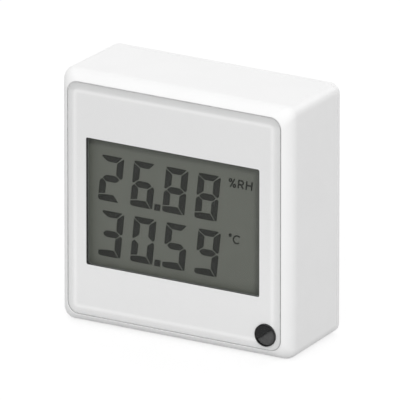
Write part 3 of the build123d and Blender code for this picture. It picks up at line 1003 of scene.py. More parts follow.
@dataclass
class FrontShell:
    """White moulded shell with rounded front edges, a lens recess, screw bosses and grooves."""

    outside: Outside
    window_relief: float = 1.5 * MM
    window_corner: float = 1.2 * MM
    boss_radius: float = 2.5 * MM
    boss_bore: float = 1.05 * MM
    boss_step: float = 2.4 * MM
    rib_thickness: float = 1.0 * MM
    rib_step: float = 1.0 * MM
    rib_root: float = 0.8
    post_radius: float = 2.2 * MM
    post_bore: float = 0.85 * MM
    post_hole: float = 3 * MM
    notch_half: float = 6.0 * MM
    notch_depth: float = 1.0 * MM
    notch_height: float = 1.1 * MM
    groove_depth: float = 0.7 * MM
    groove_clearance: float = 0.15 * MM

    def section(self) -> tuple[np.ndarray, np.ndarray, np.ndarray]:
        """The wall's section, from the recess floor over the rounded front to the inner floor.

        It steps in at the seam, so that a dark line shows there. The rounded front
        is a quarter circle: inset is its radius times 1 minus the sine of the angle from the
        front, and depth its radius times 1 minus the cosine.

        Returns:
            Inset, depth and corner radius of each ring.
        """
        o = self.outside
        start = math.asin((o.front_rounding - o.lens_margin + o.easing) / o.front_rounding)
        angle = np.linspace(start, math.pi / 2, ROUNDING_STEPS)
        back = o.shell_rim - o.seam_groove
        last = o.drafted(back) + o.seam_depth
        rows = [(o.lens_margin, o.recess_floor, o.lens_corner)]
        rows += [(o.lens_margin, o.rim + o.easing, o.lens_corner)]
        corner = np.linspace(o.lens_corner, o.corner, len(angle))
        front_inset = o.front_rounding * (1 - np.sin(angle))
        front_y = o.shell_front + o.front_rounding * (1 - np.cos(angle))
        rows += list(zip(front_inset, front_y, corner))
        rows += [(o.drafted(back), back, o.corner), (last, back, o.corner)]
        rows += [(last, o.shell_rim, o.corner)]
        rows += [(o.wall, o.shell_rim, o.inner_corner), (o.wall, o.wall_inner, o.inner_corner)]
        inset, y, corner = np.array(rows).T
        return inset, y, corner

    def window(self, y: Any) -> np.ndarray:
        """Rings of the display window in the front wall, from the display film's own box.

        Args:
            y: Depth of each ring.

        Returns:
            Rings of points.
        """
        low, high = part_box("lcd_front_polarizer")
        grown = self.window_relief - self.outside.film_overlap
        half_x = np.full(np.size(y), (high.x - low.x) / 2 + grown)
        half_z = np.full(np.size(y), (high.z - low.z) / 2 + grown)
        outline = rounded_outline(half_x, half_z, self.window_corner)
        return at_depth(outline, y, middle_of("lcd_front_polarizer"))

    def bosses(self, draft: Draft) -> None:
        """Adds the tall screw bosses with their ribs and the board posts, with blind holes.

        Args:
            draft: The shell's draft.
        """
        o = self.outside
        tray_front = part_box("positive_contact")[0].y
        boss_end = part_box("tray_screws")[1].y - self.boss_step
        post_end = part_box("main_board")[0].y
        floor = o.recess_floor + o.easing
        for places, radius, bore, end, hole in (
            (o.bosses, self.boss_radius, self.boss_bore, boss_end, tray_front),
            (o.posts, self.post_radius, self.post_bore, post_end, post_end - self.post_hole),
        ):
            profile = [(0, floor), (radius, floor), (radius, end - o.chamfer)]
            profile += [(radius - o.chamfer, end), (bore, end), (bore, hole), (0, hole)]
            for place in places:
                draft.rings(turned(profile, place, BOSS_STEPS))
        half = self.rib_thickness / 2
        for x, z in o.bosses:
            way = 1 if z > o.height / 2 else -1
            root = z + way * self.rib_root * self.boss_radius
            low, high = sorted((root, o.height / 2 + way * (o.height / 2 - o.wall)))
            draft.box((x - half, floor, low), (x + half, boss_end - self.rib_step, high))

    def cutters(self) -> list[bpy.types.Object]:
        """Solids that cut the catch grooves and the notch at the bottom of the seam.

        The notch is an ellipse about the middle of the lower edge, carried along Y.

        Returns:
            The two cutters.
        """
        o = self.outside
        catch_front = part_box("cover_catches")[0].y
        front = catch_front - self.groove_clearance
        back = catch_front + o.catch_thickness + self.groove_clearance
        grooves = o.at_catches(front, back, self.groove_depth)
        turn = circle(1.0, HOLE_STEPS)[0] * np.array([self.notch_half, self.notch_depth])
        ends = (o.shell_rim - self.notch_height, o.shell_rim + CUT_PAST)
        notch = Draft().capped(at_depth(np.stack([turn, turn]), ends))
        return [grooves.build("groove_cutter"), notch.build("notch_cutter")]

    def build(self) -> None:
        """Builds the shell."""
        o = self.outside
        inset, y, corner = self.section()
        wall = o.rings(inset, y, corner)
        window = self.window((o.recess_floor, o.wall_inner))
        port = o.port_hole((o.recess_floor, o.wall_inner))
        draft = Draft().rings(wall).rings(window).rings(port)
        draft.flat(wall[0], (window[0], port[0])).flat(wall[-1], (window[1], port[1]))
        self.bosses(draft)
        shell = carved(draft.build("housing_shell"), self.cutters())
        placed(shell, HOUSING_WHITE, "housing", ["front_shell"])


@dataclass
class FrontLens:
    """Clear lens with a shallow bevelled rim, the white print behind it and the glue frame."""

    outside: Outside
    gap: float = 0.12 * MM
    film: float = 0.03 * MM
    rim_width: float = 1.8 * MM
    face_corner: float = 2.2 * MM
    face_rounding: float = 1.6 * MM
    bevel_steps: int = 7
    # How far behind the rim the painted shadow line at the lip reaches
    lip_shadow_reach: float = 0.24 * MM

    def bevel(self) -> np.ndarray:
        """The rim's slope, from the outer edge to the flat face.

        The slope is straight, and an arc that touches both the slope and the face ends it.

        Returns:
            A row of inset and depth for each point.
        """
        o = self.outside
        slope = math.atan2(o.lens_rise, self.rim_width)
        turn = np.linspace(slope, 0, self.bevel_steps)
        tangent = self.face_rounding * math.tan(slope / 2)
        inset = self.rim_width + tangent - self.face_rounding * np.sin(turn)
        depth = o.lens_front + self.face_rounding * (1 - np.cos(turn))
        return np.stack([inset + o.lens_margin + self.gap, depth], axis=-1)

    def build(self) -> None:
        """Builds the lens and dresses the print and the glue behind it."""
        o = self.outside
        edge = o.lens_margin + self.gap
        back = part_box("front_lens")[1].y - self.film
        bevel = self.bevel()
        inset = np.concatenate([[edge, edge, edge + o.easing], bevel[:, 0]])
        y = np.concatenate([[back, o.rim + o.easing, o.rim], bevel[:, 1]])
        share = np.clip((inset - edge) / self.rim_width, 0, 1)
        corner = (1 - share) * (o.lens_corner - self.gap) + share * self.face_corner
        sheet = Draft().capped(o.rings(inset, y, corner)).build("clear_lens")
        hole = o.port_hole((back + CUT_PAST, o.lens_front - CUT_PAST))
        lens = carved(sheet, [Draft().capped(hole).build("port_cutter")])
        half = o.width / 2 - edge
        # The lens's grey paints shade on its rim band and top, a highlight on a clear line inside
        # the rim, and a shadow line at its lip
        clear = Framed(
            "clear_lens", rgb(110, 112, 112), roughness=0.1, grain=Grain.CLEAR,
            roughness_variation=0.02, alpha=0.03, centre=(0.0, o.height / 2), half=(half, half),
            corner=o.lens_corner, fade=self.rim_width / 2, edge_shade=0.9, rim_shade_alpha=0.065,
            top_shade_alpha=0.035, edge_start=self.rim_width, lip_shadow_alpha=0.18,
            lip_depth=o.rim + self.lip_shadow_reach,
        )
        placed(lens, clear, "housing", ["front_lens"])
        dress("display_mask", PRINT_WHITE)
        dress("lens_adhesive", CLEAR_GLUE)


class Segment(Enum):
    """Parts of a seven-segment digit, by their usual letters."""

    TOP = "a"
    UPPER_RIGHT = "b"
    LOWER_RIGHT = "c"
    BOTTOM = "d"
    LOWER_LEFT = "e"
    UPPER_LEFT = "f"
    MIDDLE = "g"


LIT: dict[str, str] = {
    "0": "abcdef",
    "2": "abdeg",
    "3": "abcdg",
    "5": "acdfg",
    "6": "acdefg",
    "8": "abcdefg",
    "9": "abcdfg",
}


def bar(*points: tuple[float, float]) -> tuple[np.ndarray, bool]:
    """A straight stroke between points, as a path and whether it is closed."""
    return np.array(points), False


BOW_STEPS = 24


def bow(
    centre: tuple[float, float], half: tuple[float, float], start: float, end: float
) -> tuple[np.ndarray, bool]:
    """A stroke along part of an ellipse, or all of it.

    Args:
        centre: The ellipse's middle.
        half: Its half width and half height.
        start: First angle, in degrees.
        end: Last angle, in degrees.

    Returns:
        The path and whether it is closed.
    """
    closed = end - start == 360
    path = arc(start, end, 1.0, BOW_STEPS + 1)
    if closed:
        path = path[:-1]
    return np.array(centre) + path * np.array(half), closed


# Width and strokes of each letter, in shares of its height
GLYPHS: dict[str, tuple[float, list[tuple[np.ndarray, bool]]]] = {
    "%": (0.94, [
        bow((0.2, 0.78), (0.14, 0.16), 0, 360),
        bow((0.74, 0.2), (0.14, 0.16), 0, 360),
        bar((0.24, 0.0), (0.7, 1.0)),
    ]),
    "R": (0.78, [
        bar((0.08, 0.0), (0.08, 1.0)),
        bar((0.08, 0.92), (0.42, 0.92)),
        bow((0.42, 0.69), (0.23, 0.23), 90, -90),
        bar((0.08, 0.46), (0.42, 0.46)),
        bar((0.38, 0.46), (0.7, 0.0)),
    ]),
    "H": (0.82, [
        bar((0.08, 0.0), (0.08, 1.0)),
        bar((0.74, 0.0), (0.74, 1.0)),
        bar((0.08, 0.52), (0.74, 0.52)),
    ]),
    "°": (0.26, [bow((0.14, 0.86), (0.11, 0.12), 0, 360)]),
    "C": (0.9, [bow((0.5, 0.5), (0.42, 0.42), 46, 314)]),
}


@dataclass
class Display:
    """Liquid crystal display with two lines of slanted digits and their units."""

    outside: Outside
    digit_width: float = 6.45 * MM
    digit_height: float = 12.0 * MM
    stroke: float = 1.75 * MM
    upright: float = 1.15
    hairline: float = 0.13 * MM
    pitch: float = 9.07 * MM
    line_pitch: float = 14.37 * MM
    slant: float = math.radians(6.1)
    side_margin: float = 2.05 * MM
    top_margin: float = 4.35 * MM
    dot: float = 1.7 * MM
    dot_rounding: float = 0.085 * MM
    corner_steps: int = 7
    unit_heights: tuple[float, float] = (2.25 * MM, 2.4 * MM)
    unit_stroke: float = 0.41 * MM
    letter_gap: float = 0.21
    unit_place: float = 36.9 * MM
    ink: float = 0.03 * MM
    # Painted shade at the film's edges: the shaded rectangle's offset, the width over which the
    # shade grows and its darkest factor
    shade_shift: tuple[float, float] = (-1.6 * MM, -1.2 * MM)
    shade_fade: float = 1.6 * MM
    edge_shade: float = 0.62

    def outline(self, segment: Segment) -> np.ndarray:
        """Corners of one segment in its digit, before the slant.

        They are given in widths of the stroke: r is the digit's right side, t its top, m its
        middle and v the width of an upright stroke.

        Args:
            segment: Which one.

        Returns:
            A row for each corner: its x, its z and the length of its rounding.
        """
        w, h, s = self.digit_width, self.digit_height, self.stroke
        r, t, m, v = w / s, h / s, h / s / 2, self.upright
        corners = {
            Segment.TOP: [
                (0.12, t, 0.35), (r - 0.22, t, 0.3), (r - v, t - 1, 0.15), (1.05, t - 1, 0.3),
                (0, t - 0.28, 0.2)],
            Segment.UPPER_RIGHT: [
                (r, t - 0.04, 0.35), (r, m + 0.28, 0.15), (r - 0.32, m + 0.02, 0.1),
                (r - v, m + 0.64, 0.12), (r - v, t - 1, 0.1)],
            Segment.LOWER_RIGHT: [
                (r, m - 0.28, 0.15), (r, 0.08, 0.35), (r - 0.25, 0, 0.1), (r - v, 1.14, 0.1),
                (r - v, m - 0.64, 0.12), (r - 0.32, m - 0.02, 0.1)],
            Segment.BOTTOM: [
                (0, 0, 0.8), (0, 0.86, 0.08), (1, 1.04, 0.2), (r - v - 0.05, 1.1, 0.12),
                (r - 0.27, 0, 0.1)],
            Segment.LOWER_LEFT: [
                (0, m - 0.45, 0.15), (0.42, m - 0.04, 0.1), (v, m - 0.64, 0.12), (v, 1.14, 0.08),
                (0, 0.94, 0.08)],
            Segment.UPPER_LEFT: [
                (0, m + 0.14, 0.1), (0, t - 0.34, 0.12), (v, t - 1.08, 0.1), (v, m + 0.72, 0.12),
                (0.3, m + 0.03, 0.08)],
            Segment.MIDDLE: [
                (0.44, m, 0.12), (0.95, m + 0.53, 0.25), (r - 1.05, m + 0.53, 0.25),
                (r - 0.42, m, 0.12), (r - 1, m - 0.53, 0.25), (1, m - 0.53, 0.25)],
        }[segment]
        return np.array(corners) * s

    def drawn_in(self, points: np.ndarray) -> np.ndarray:
        """Moves every side of a convex outline in by half a hairline.

        Each new corner is where the two moved sides meet: the old corner plus the sum of the two
        inward normals, over 1 plus their product, times the distance.

        Args:
            points: The corners.

        Returns:
            The new corners.
        """
        along = np.roll(points, -1, 0) - points
        along /= np.linalg.norm(along, axis=1)[:, None]
        centre = points.mean(0)
        normal = np.stack([-along[:, 1], along[:, 0]], axis=-1)
        normal *= np.sign(np.sum(normal * (centre - points), axis=1))[:, None]
        before = np.roll(normal, 1, 0)
        product = np.sum(normal * before, axis=1)[:, None]
        return points + (normal + before) / (1 + product) * self.hairline / 2

    def rounded(self, points: np.ndarray, rounding: np.ndarray) -> np.ndarray:
        """Rounds the corners of an outline with short quadratic curves.

        Each corner becomes the curve from a point before it to a point after it, with the corner
        itself as the control point. Neither point lies past the middle of its side.

        Args:
            points: The corners.
            rounding: Distance of the two points from each corner.

        Returns:
            The rounded outline.
        """
        before = np.roll(points, 1, 0) - points
        after = np.roll(points, -1, 0) - points
        start, end = (
            points + way * np.minimum(rounding / np.linalg.norm(way, axis=1), 0.5)[:, None]
            for way in (before, after)
        )
        t = np.linspace(0, 1, self.corner_steps)[None, :, None]
        ends = (1 - t) ** 2 * start[:, None] + t**2 * end[:, None]
        return (ends + 2 * t * (1 - t) * points[:, None]).reshape(-1, 2)

    def slanted(self, points: np.ndarray) -> np.ndarray:
        """Moves each point to the right by its height times the tangent of the slant."""
        return points + points[..., 1:] * np.array([math.tan(self.slant), 0.0])

    def stamp(self, draft: Draft, outline: np.ndarray, corner: tuple[float, float]) -> None:
        """Adds one flat printed shape: the outline slanted, set in place and made solid.

        Args:
            draft: The draft.
            outline: The shape, from its lower left corner.
            corner: Place of that corner, as x and z.
        """
        shape = self.slanted(outline)
        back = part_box("lcd_front_polarizer")[0].y
        draft.capped(at_depth(np.stack([shape, shape]), (back - self.ink, back), corner))

    def line(self, digits: str, x: float, z: float) -> Draft:
        """Draws one line of four digits with a point after the second.

        Args:
            digits: The digits.
            x: Left end of the line.
            z: Foot of the line.

        Returns:
            The draft.
        """
        draft = Draft()
        for number, digit in enumerate(digits):
            corner = (x + number * self.pitch, z)
            for segment in (s for s in Segment if s.value in LIT[digit]):
                corners = self.outline(segment)
                shape = self.rounded(self.drawn_in(corners[:, :2]), corners[:, 2])
                self.stamp(draft, shape, corner)
        dot_x = x + 2 * self.pitch - (self.pitch - self.digit_width) / 2 - self.dot / 2
        square = (QUADRANTS + 1) / 2 * self.dot
        self.stamp(draft, self.rounded(square, np.full(4, self.dot_rounding)), (dot_x, z))
        return draft

    def add_stroke(
        self, draft: Draft, path: np.ndarray, closed: bool, corner: tuple[float, float]
    ) -> None:
        """Adds one stroke of a letter: a flat bar that follows a path.

        Its section is a rectangle, set square to the path's direction at each point.

        Args:
            draft: The draft.
            path: Points from the letter's lower left corner.
            closed: Whether the path ends where it starts.
            corner: Place of that corner.
        """
        if closed:
            along = np.roll(path, -1, 0) - np.roll(path, 1, 0)
        else:
            along = np.gradient(path, axis=0)
        along = along / np.linalg.norm(along, axis=1)[:, None]
        across = np.stack([-along[:, 1], along[:, 0]], axis=-1) * self.unit_stroke / 2
        left, right = self.slanted(path + across), self.slanted(path - across)
        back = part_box("lcd_front_polarizer")[0].y
        depths = (back - self.ink, back, back, back - self.ink)
        sides = (left, left, right, right)
        grid = at_depth(np.stack(sides), depths, corner).swapaxes(0, 1)
        if closed:
            draft.rings(grid, closed=True)
        else:
            draft.capped(grid)

    def unit(self, text: str, x: float, top: float, height: float) -> Draft:
        """A small unit in plain letters, each made of straight strokes and arcs.

        Args:
            text: The letters.
            x: Left end.
            top: Height of the letters' top.
            height: Height of the letters.

        Returns:
            The draft.
        """
        draft = Draft()
        for letter in text:
            width, strokes = GLYPHS[letter]
            for path, closed in strokes:
                self.add_stroke(draft, path * height, closed, (x, top - height))
            x += (width + self.letter_gap) * height
        return draft

    def build(self) -> None:
        """Builds the digits and their units, and dresses the glass and its films."""
        overlap = self.outside.film_overlap
        low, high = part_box("lcd_front_polarizer")
        left = low.x + overlap + self.side_margin
        top = high.z - overlap - self.top_margin
        rows = (("humidity", "2688", "%RH"), ("temperature", "3059", "°C"))
        for number, (name, digits, unit) in enumerate(rows):
            head = top - number * self.line_pitch
            line = self.line(digits, left, head - self.digit_height)
            placed(line.build(f"{name}_digits"), SEGMENT_INK, "housing")
            letters = self.unit(unit, left + self.unit_place, head, self.unit_heights[number])
            placed(letters.build(f"{name}_unit"), SEGMENT_INK, "housing")
        x, z = middle_of("lcd_front_polarizer")
        # The film is darkened towards its right and top edges with painted shade, the rectangle
        # shifted by shade_shift
        film = Framed(
            "display_film", rgb(96, 99, 91), roughness=0.5,
            centre=(x + self.shade_shift[0], z + self.shade_shift[1]),
            half=((high.x - low.x) / 2 - overlap, (high.z - low.z) / 2 - overlap),
            fade=self.shade_fade, edge_shade=self.edge_shade,
        )
        dress("lcd_front_polarizer", film)
        for node in ("lcd_front_glass", "lcd_rear_glass"):
            dress(node, DISPLAY_GLASS)
        dress("lcd_reflector", REFLECTOR)
        dress("lcd_gasket", SEAL_BLACK)
        dress("lcd_bracket", BRACKET)
        for node in ("zebra_strip_upper", "zebra_strip_lower"):
            dress(node, ZEBRA)


@dataclass
class SensorPort:
    """Round black port: a cup with a ledge, a smooth dark window and a woven vent mesh."""

    outside: Outside
    radius: float = 2.85 * MM
    wall: float = 0.22 * MM
    ledge_width: float = 0.63 * MM
    flange_radius: float = 3.6 * MM
    flange: float = 0.6 * MM
    lip_steps: int = 9
    wave_height: float = 0.08
    wave_swing: float = 0.56
    wave_slope: float = 1.7
    wave_shift: float = 0.02
    window_thickness: float = 0.5 * MM
    window_easing: float = 0.05 * MM
    window_steps: int = 26
    play: float = 0.03 * MM
    mesh_gap: float = 0.02 * MM
    mesh_overlap: float = 0.25 * MM
    thread_pitch: float = 0.3 * MM
    thread_width: float = 0.17 * MM
    thread_thickness: float = 0.05 * MM
    thread_steps: int = 141
    least_points: int = 6
    rim_steps: int = 241

    @property
    def reach(self) -> float:
        """Radius of what lies in the cup."""
        return self.radius - self.wall - self.play

    def cup(self) -> None:
        """Builds the cup as a closed turned profile with a softened lip."""
        low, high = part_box("port_housing")
        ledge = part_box("port_mesh")[1].y
        bore = self.radius - self.wall
        turn = arc(0, 180, self.wall / 2, self.lip_steps)
        lip = [(self.radius - self.wall / 2 + x, low.y + self.wall / 2 - y) for x, y in turn]
        throat = bore - self.ledge_width
        profile = [(self.radius, high.y - self.flange), *lip, (bore, ledge), (throat, ledge)]
        profile += [(throat, high.y), (self.flange_radius, high.y)]
        profile += [(self.flange_radius, high.y - self.flange)]
        draft = Draft().rings(turned(profile, self.outside.port), closed=True)
        placed(draft.build("port_cup"), PORT_BLACK, "housing", ["port_housing"])

    def wave(self, x: np.ndarray) -> np.ndarray:
        """Height of the line between window and mesh, about the port's middle.

        It is an S that rises to the right. In shares of the radius, it is the wave's height plus
        its swing times the hyperbolic tangent of its slope times the shifted x.

        Args:
            x: Places along X.

        Returns:
            Height at each place.
        """
        share = np.tanh(self.wave_slope * (x / self.radius + self.wave_shift))
        return self.radius * (self.wave_height + self.wave_swing * share)

    def window(self) -> None:
        """Builds the window over the upper left: a plate with an eased front edge.

        Its outline is the part of a circle above the line to the mesh, closed by that line. Each
        ring is the outline drawn in towards its middle by a factor.
        """
        turn = np.linspace(-0.5 * math.pi, 1.5 * math.pi, self.rim_steps)
        rim = self.reach * np.stack([np.cos(turn), np.sin(turn)], axis=-1)
        rim = rim[rim[:, 1] > self.wave(rim[:, 0])]
        x = np.linspace(rim[-1, 0], rim[0, 0], self.window_steps)[1:-1]
        outline = np.concatenate([rim, np.stack([x, self.wave(x)], axis=-1)])
        middle = outline.mean(0)
        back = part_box("port_mesh")[0].y - self.mesh_gap
        front = back - self.window_thickness + self.mesh_gap
        easing = self.window_easing
        depths = (back, front + easing, front + 0.3 * easing, front)
        scales = np.array([1.0, 1.0, 0.985, 0.97])[:, None, None]
        plate = at_depth(middle + (outline - middle) * scales, depths, self.outside.port)
        made = Draft().capped(plate).build("dark_window")
        placed(made, PORT_GLASS, "housing", ["port_window"])

    def threads(self, draft: Draft, swapped: bool) -> None:
        """Adds the threads of one direction.

        Each one is a flat bar that passes over and under the threads that cross it: its depth
        goes with the cosine of the distance along it over the pitch, and every other thread is
        half a wave on.

        Args:
            draft: The draft.
            swapped: False for the threads along X, True for those along Z.
        """
        low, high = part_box("port_mesh")
        middle = (low.y + high.y) / 2
        swing = 0.75 * self.thread_thickness
        half, thick = self.thread_width / 2, self.thread_thickness / 2
        side = np.array([half, 0.0]) if swapped else np.array([0.0, half])
        port = np.array([self.outside.port[0], 0, self.outside.port[1]])
        count = int(self.reach / self.thread_pitch)
        along = np.linspace(-self.reach, self.reach, self.thread_steps)
        for number in range(-count, count + 1):
            across = np.full_like(along, number * self.thread_pitch)
            x, z = (across, along) if swapped else (along, across)
            inside = (np.hypot(x, z) < self.reach) & (z < self.wave(x) + self.mesh_overlap)
            if inside.sum() < self.least_points:
                continue
            x, z = x[inside], z[inside]
            wave = np.cos(math.pi * (along[inside] / self.thread_pitch + number)) * swing
            depth = middle + (wave if swapped else -wave)
            rows = []
            for way, lift in ((1, -thick), (1, thick), (-1, thick), (-1, -thick)):
                rows.append(np.stack([x + side[0] * way, depth + lift, z + side[1] * way], -1))
            grid = np.stack(rows, axis=1) + port
            draft.capped(grid)

    def build(self) -> None:
        """Builds the cup, its window and its mesh, and dresses the foam frame behind them."""
        self.cup()
        self.window()
        mesh = Draft()
        self.threads(mesh, False)
        self.threads(mesh, True)
        placed(mesh.build("vent_mesh"), VENT_CLOTH, "housing", ["port_mesh"])
        dress("sensor_gasket", SEAL_BLACK)


@dataclass(frozen=True)
class Screw:
    """Pan-head screw with a cross recess and a thread, head towards +Y.

    The core and the taper are shares of the screw's radius, arm and arm_reach are shares of the
    head's radius, and recess_depth and side are shares of its height. The recess is its outline
    times floor_share at its floor and times mouth_share a head's height above the head.
    """

    radius: float
    length: float
    head_radius: float
    head_height: float
    pitch: float
    core: float = 0.76
    ridge_slope: float = 2.6
    tip_share: float = 0.3
    taper: float = 1.4
    side: float = 0.35
    arm: float = 0.13
    arm_reach: float = 0.56
    recess_depth: float = 0.62
    floor_share: float = 0.6
    mouth_share: float = 1.05
    steps: int = 24
    rings_in_pitch: int = 6
    dome_steps: int = 9

    def shank(self) -> tuple[np.ndarray, np.ndarray]:
        """The threaded shank, from its tip to the head.

        The radius is the core's plus the thread's height times a ridge. The ridge is 1 minus
        ridge_slope times the distance to the nearest crest in pitches, and no less than 0, and
        it goes once round in each pitch. At the tip the radius is tip_share of that, and it
        grows in proportion to the distance from the tip.

        Returns:
            Radii of each ring's points and the depth of each ring before the head.
        """
        count = int(self.length / self.pitch * self.rings_in_pitch)
        y = np.linspace(-self.length, 0, count)[:, None]
        turn = np.arange(self.steps)[None] / self.steps
        phase = (y / self.pitch + turn) % 1
        ridge = np.clip(1 - self.ridge_slope * np.abs(phase - 0.5), 0, 1)
        core = self.core * self.radius
        growth = (y + self.length) / (self.taper * self.radius)
        narrowing = np.clip(self.tip_share + growth, 0, 1)
        return (core + (self.radius - core) * ridge) * narrowing, y[:, 0]

    def head(self) -> tuple[np.ndarray, np.ndarray]:
        """The head: a short straight edge under a dome with steep sides.

        The dome's radius is the head's times the root of the cosine of an angle, and its height
        goes with the sine.

        Returns:
            Radii of each ring's points and the depth of each ring behind the head's seat.
        """
        angle = np.linspace(0, 0.48 * math.pi, self.dome_steps)
        radius = self.head_radius * np.sqrt(np.cos(angle))
        y = self.head_height * (self.side + (1 - self.side) * np.sin(angle))
        radius = np.concatenate([[self.head_radius * 0.97, self.head_radius], radius])
        y = np.concatenate([[0.0, 0.06 * self.head_height], y])
        return np.repeat(radius[:, None], self.steps, axis=1), y

    def add(self, draft: Draft, place: tuple[float, float], seat: float) -> None:
        """Adds the screw to a draft.

        Args:
            draft: The draft.
            place: The screw's axis, as x and z.
            seat: Depth of the underside of its head.
        """
        radii, y = (np.concatenate(pair) for pair in zip(self.shank(), self.head()))
        outline = circle(1.0, self.steps) * radii[..., None]
        draft.capped(at_depth(outline, y + seat, place))

    def recess(self, draft: Draft, place: tuple[float, float], seat: float) -> None:
        """Adds the solid that cuts the cross recess, which narrows towards its floor.

        Its outline is one arm's three corners, turned by quarter turns.

        Args:
            draft: The draft.
            place: The screw's axis, as x and z.
            seat: Depth of the underside of its head.
        """
        w, r = self.arm * self.head_radius, self.arm_reach * self.head_radius
        quarter = np.array([(w, w), (w, r), (-w, r)])
        turns = [np.linalg.matrix_power(np.array([(0, -1), (1, 0)]), n) for n in range(4)]
        cross = np.concatenate([(turn @ quarter.T).T for turn in turns])
        top = seat + self.head_height
        depths = (top - self.recess_depth * self.head_height, top + self.head_height)
        shapes = np.stack([cross * self.floor_share, cross * self.mouth_share])
        draft.capped(at_depth(shapes, depths, place))

    def group(self, name: str, places: Sequence[tuple[float, float]]) -> None:
        """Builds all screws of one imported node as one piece.

        Args:
            name: The node that they replace.
            places: Their axes.
        """
        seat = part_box(name)[1].y - self.head_height
        bodies, recesses = Draft(), Draft()
        for place in places:
            self.add(bodies, place, seat)
            self.recess(recesses, place, seat)
        made = carved(bodies.build(f"{name[:-1]}_set"), [recesses.build("recess_cutter")])
        placed(made, ZINC, "housing", [name])


BOARD_FINISHES: dict[str, Finish] = {
    "main_board": BOARD,
    "humidity_chip": SENSOR_EPOXY,
    "light_sensor": SENSOR_EPOXY,
    "controller_chip": EPOXY,
    "board_capacitors": CAPACITOR,
    "radio_module": BOARD,
    "radio_shield": TINNED,
    "pairing_switch": SWITCH_BLACK,
    "switch_plunger": SWITCH_BLACK,
}


@dataclass
class Electronics:
    """Circuit board with its chips, radio and switch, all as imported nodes, and its screws."""

    outside: Outside
    screw: Screw = Screw(
        radius=0.8 * MM, length=3.6 * MM, head_radius=1.6 * MM, head_height=1.0 * MM,
        pitch=0.7 * MM,
    )

    def build(self) -> None:
        """Dresses every node and builds the board's screws."""
        for node, finish in BOARD_FINISHES.items():
            dress(node, finish)
        self.screw.group("board_screws", self.outside.posts)


@dataclass
class Power:
    """Battery tray, its screws, two cells and their contacts."""

    outside: Outside
    nub_radius: float = 1.8 * MM
    nub_length: float = 0.9 * MM
    nub_edge: float = 0.15 * MM
    seal_width: float = 0.3 * MM
    seal_height: float = 0.1 * MM
    shoulder: float = 0.6 * MM
    band_start: float = 3 * MM
    band_end: float = 11 * MM
    bare_end: float = 0.2 * MM
    screw: Screw = Screw(
        radius=1.0 * MM, length=8.0 * MM, head_radius=1.9 * MM, head_height=1.2 * MM,
        pitch=0.9 * MM,
    )

    def profile(self, radius: float, length: float) -> list[tuple[float, float]]:
        """Half section of a cell: flat end, rolled edge, body, seal and nub.

        The rolled edge is a quarter circle. The body narrows by that radius towards the nub,
        where the same quarter circle goes out again as a thin rim.

        Args:
            radius: The cell's radius.
            length: Its length with the nub.

        Returns:
            Radius and distance from the flat end of each point.
        """
        body_end = length - self.nub_length
        shoulder = radius - self.shoulder
        roll = arc(0, 90, self.shoulder, EASING_STEPS)
        points = [(0, 0), (shoulder, 0)]
        points += [(shoulder + y, self.shoulder - x) for x, y in roll]
        points += [(shoulder + y, body_end - self.shoulder + x) for x, y in roll]
        points += [(self.nub_radius + self.seal_width, body_end)]
        points += [(self.nub_radius, body_end + self.seal_height)]
        points += [(self.nub_radius, length - self.nub_edge)]
        points += [(self.nub_radius - self.nub_edge, length), (0, length)]
        return points

    def cell(self, node: str, way: float) -> None:
        """Builds one cell, turned about a line along X.

        Args:
            node: The node that it replaces.
            way: 1 if the nub points to +X, -1 if to -X.
        """
        low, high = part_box(node)
        centre = (low + high) / 2
        length = high.x - low.x
        body_end = length - self.nub_length
        rings = turned(self.profile((high.z - low.z) / 2, length), (0, 0))
        start = low.x if way > 0 else high.x
        along = start + way * rings[..., 1]
        across = (centre.y + rings[..., 0], centre.z + way * rings[..., 2])
        points = np.stack([along, *across], axis=-1)
        foot = centre.x * way - length / 2
        jacket = Jacket(
            f"{node}_jacket", rgb(52, 84, 120), roughness=0.3, metallic=0.1,
            grain=Grain.POLISHED, coat=0.3, band=rgb(205, 208, 210),
            band_start=foot + self.band_start, band_end=foot + self.band_end, way=way,
            ends=(foot + self.bare_end, foot + body_end - self.bare_end),
        )
        made = Draft().rings(points).build(f"{node}_cell")
        placed(made, jacket, "housing", [node])

    def build(self) -> None:
        """Builds the cells and the tray's screws, and dresses the tray and the contacts."""
        self.cell("battery_upper", -1.0)
        self.cell("battery_lower", 1.0)
        dress("battery_tray", TRAY_WHITE)
        self.screw.group("tray_screws", self.outside.bosses)
        for node in ("positive_contact", "negative_contact", "bridge_contact"):
            dress(node, NICKEL)


@dataclass
class PairingButton:
    """Round button in the back cover, with a dished top, a flange and a stem."""

    radius: float = 3.5 * MM
    dish: float = 0.35 * MM
    edge: float = 0.3 * MM
    flange_radius: float = 4.3 * MM
    flange: float = 2.1 * MM
    flange_step: float = 1.25 * MM
    stem_radius: float = 1.5 * MM
    dish_steps: int = 10

    def build(self) -> None:
        """Builds the button as one turned profile.

        The dish's depth falls with the square of the distance from the middle, and an arc rounds
        the edge.
        """
        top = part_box("pairing_button")[1].y
        stem_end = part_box("switch_plunger")[1].y
        flange_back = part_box("battery_tray")[1].y - self.flange_step
        rim = self.radius - self.edge
        reach = np.linspace(0, rim, self.dish_steps)
        profile = [(r, top - self.dish * (1 - (r / rim) ** 2)) for r in reach]
        turn = arc(80, 0, self.edge, EASING_STEPS)
        profile += [(rim + x, top - self.edge + y) for x, y in turn]
        profile += [(self.radius, flange_back), (self.flange_radius - self.edge / 2, flange_back)]
        profile += [(self.flange_radius, flange_back - self.edge / 2)]
        profile += [(self.flange_radius, flange_back - self.flange)]
        profile += [(self.stem_radius, flange_back - self.flange), (self.stem_radius, stem_end)]
        profile += [(0, stem_end)]
        rings = turned(profile, middle_of("pairing_button"))
        button = Draft().rings(rings).build("button_cap")
        placed(button, BUTTON_GREY, "button", ["pairing_button"])


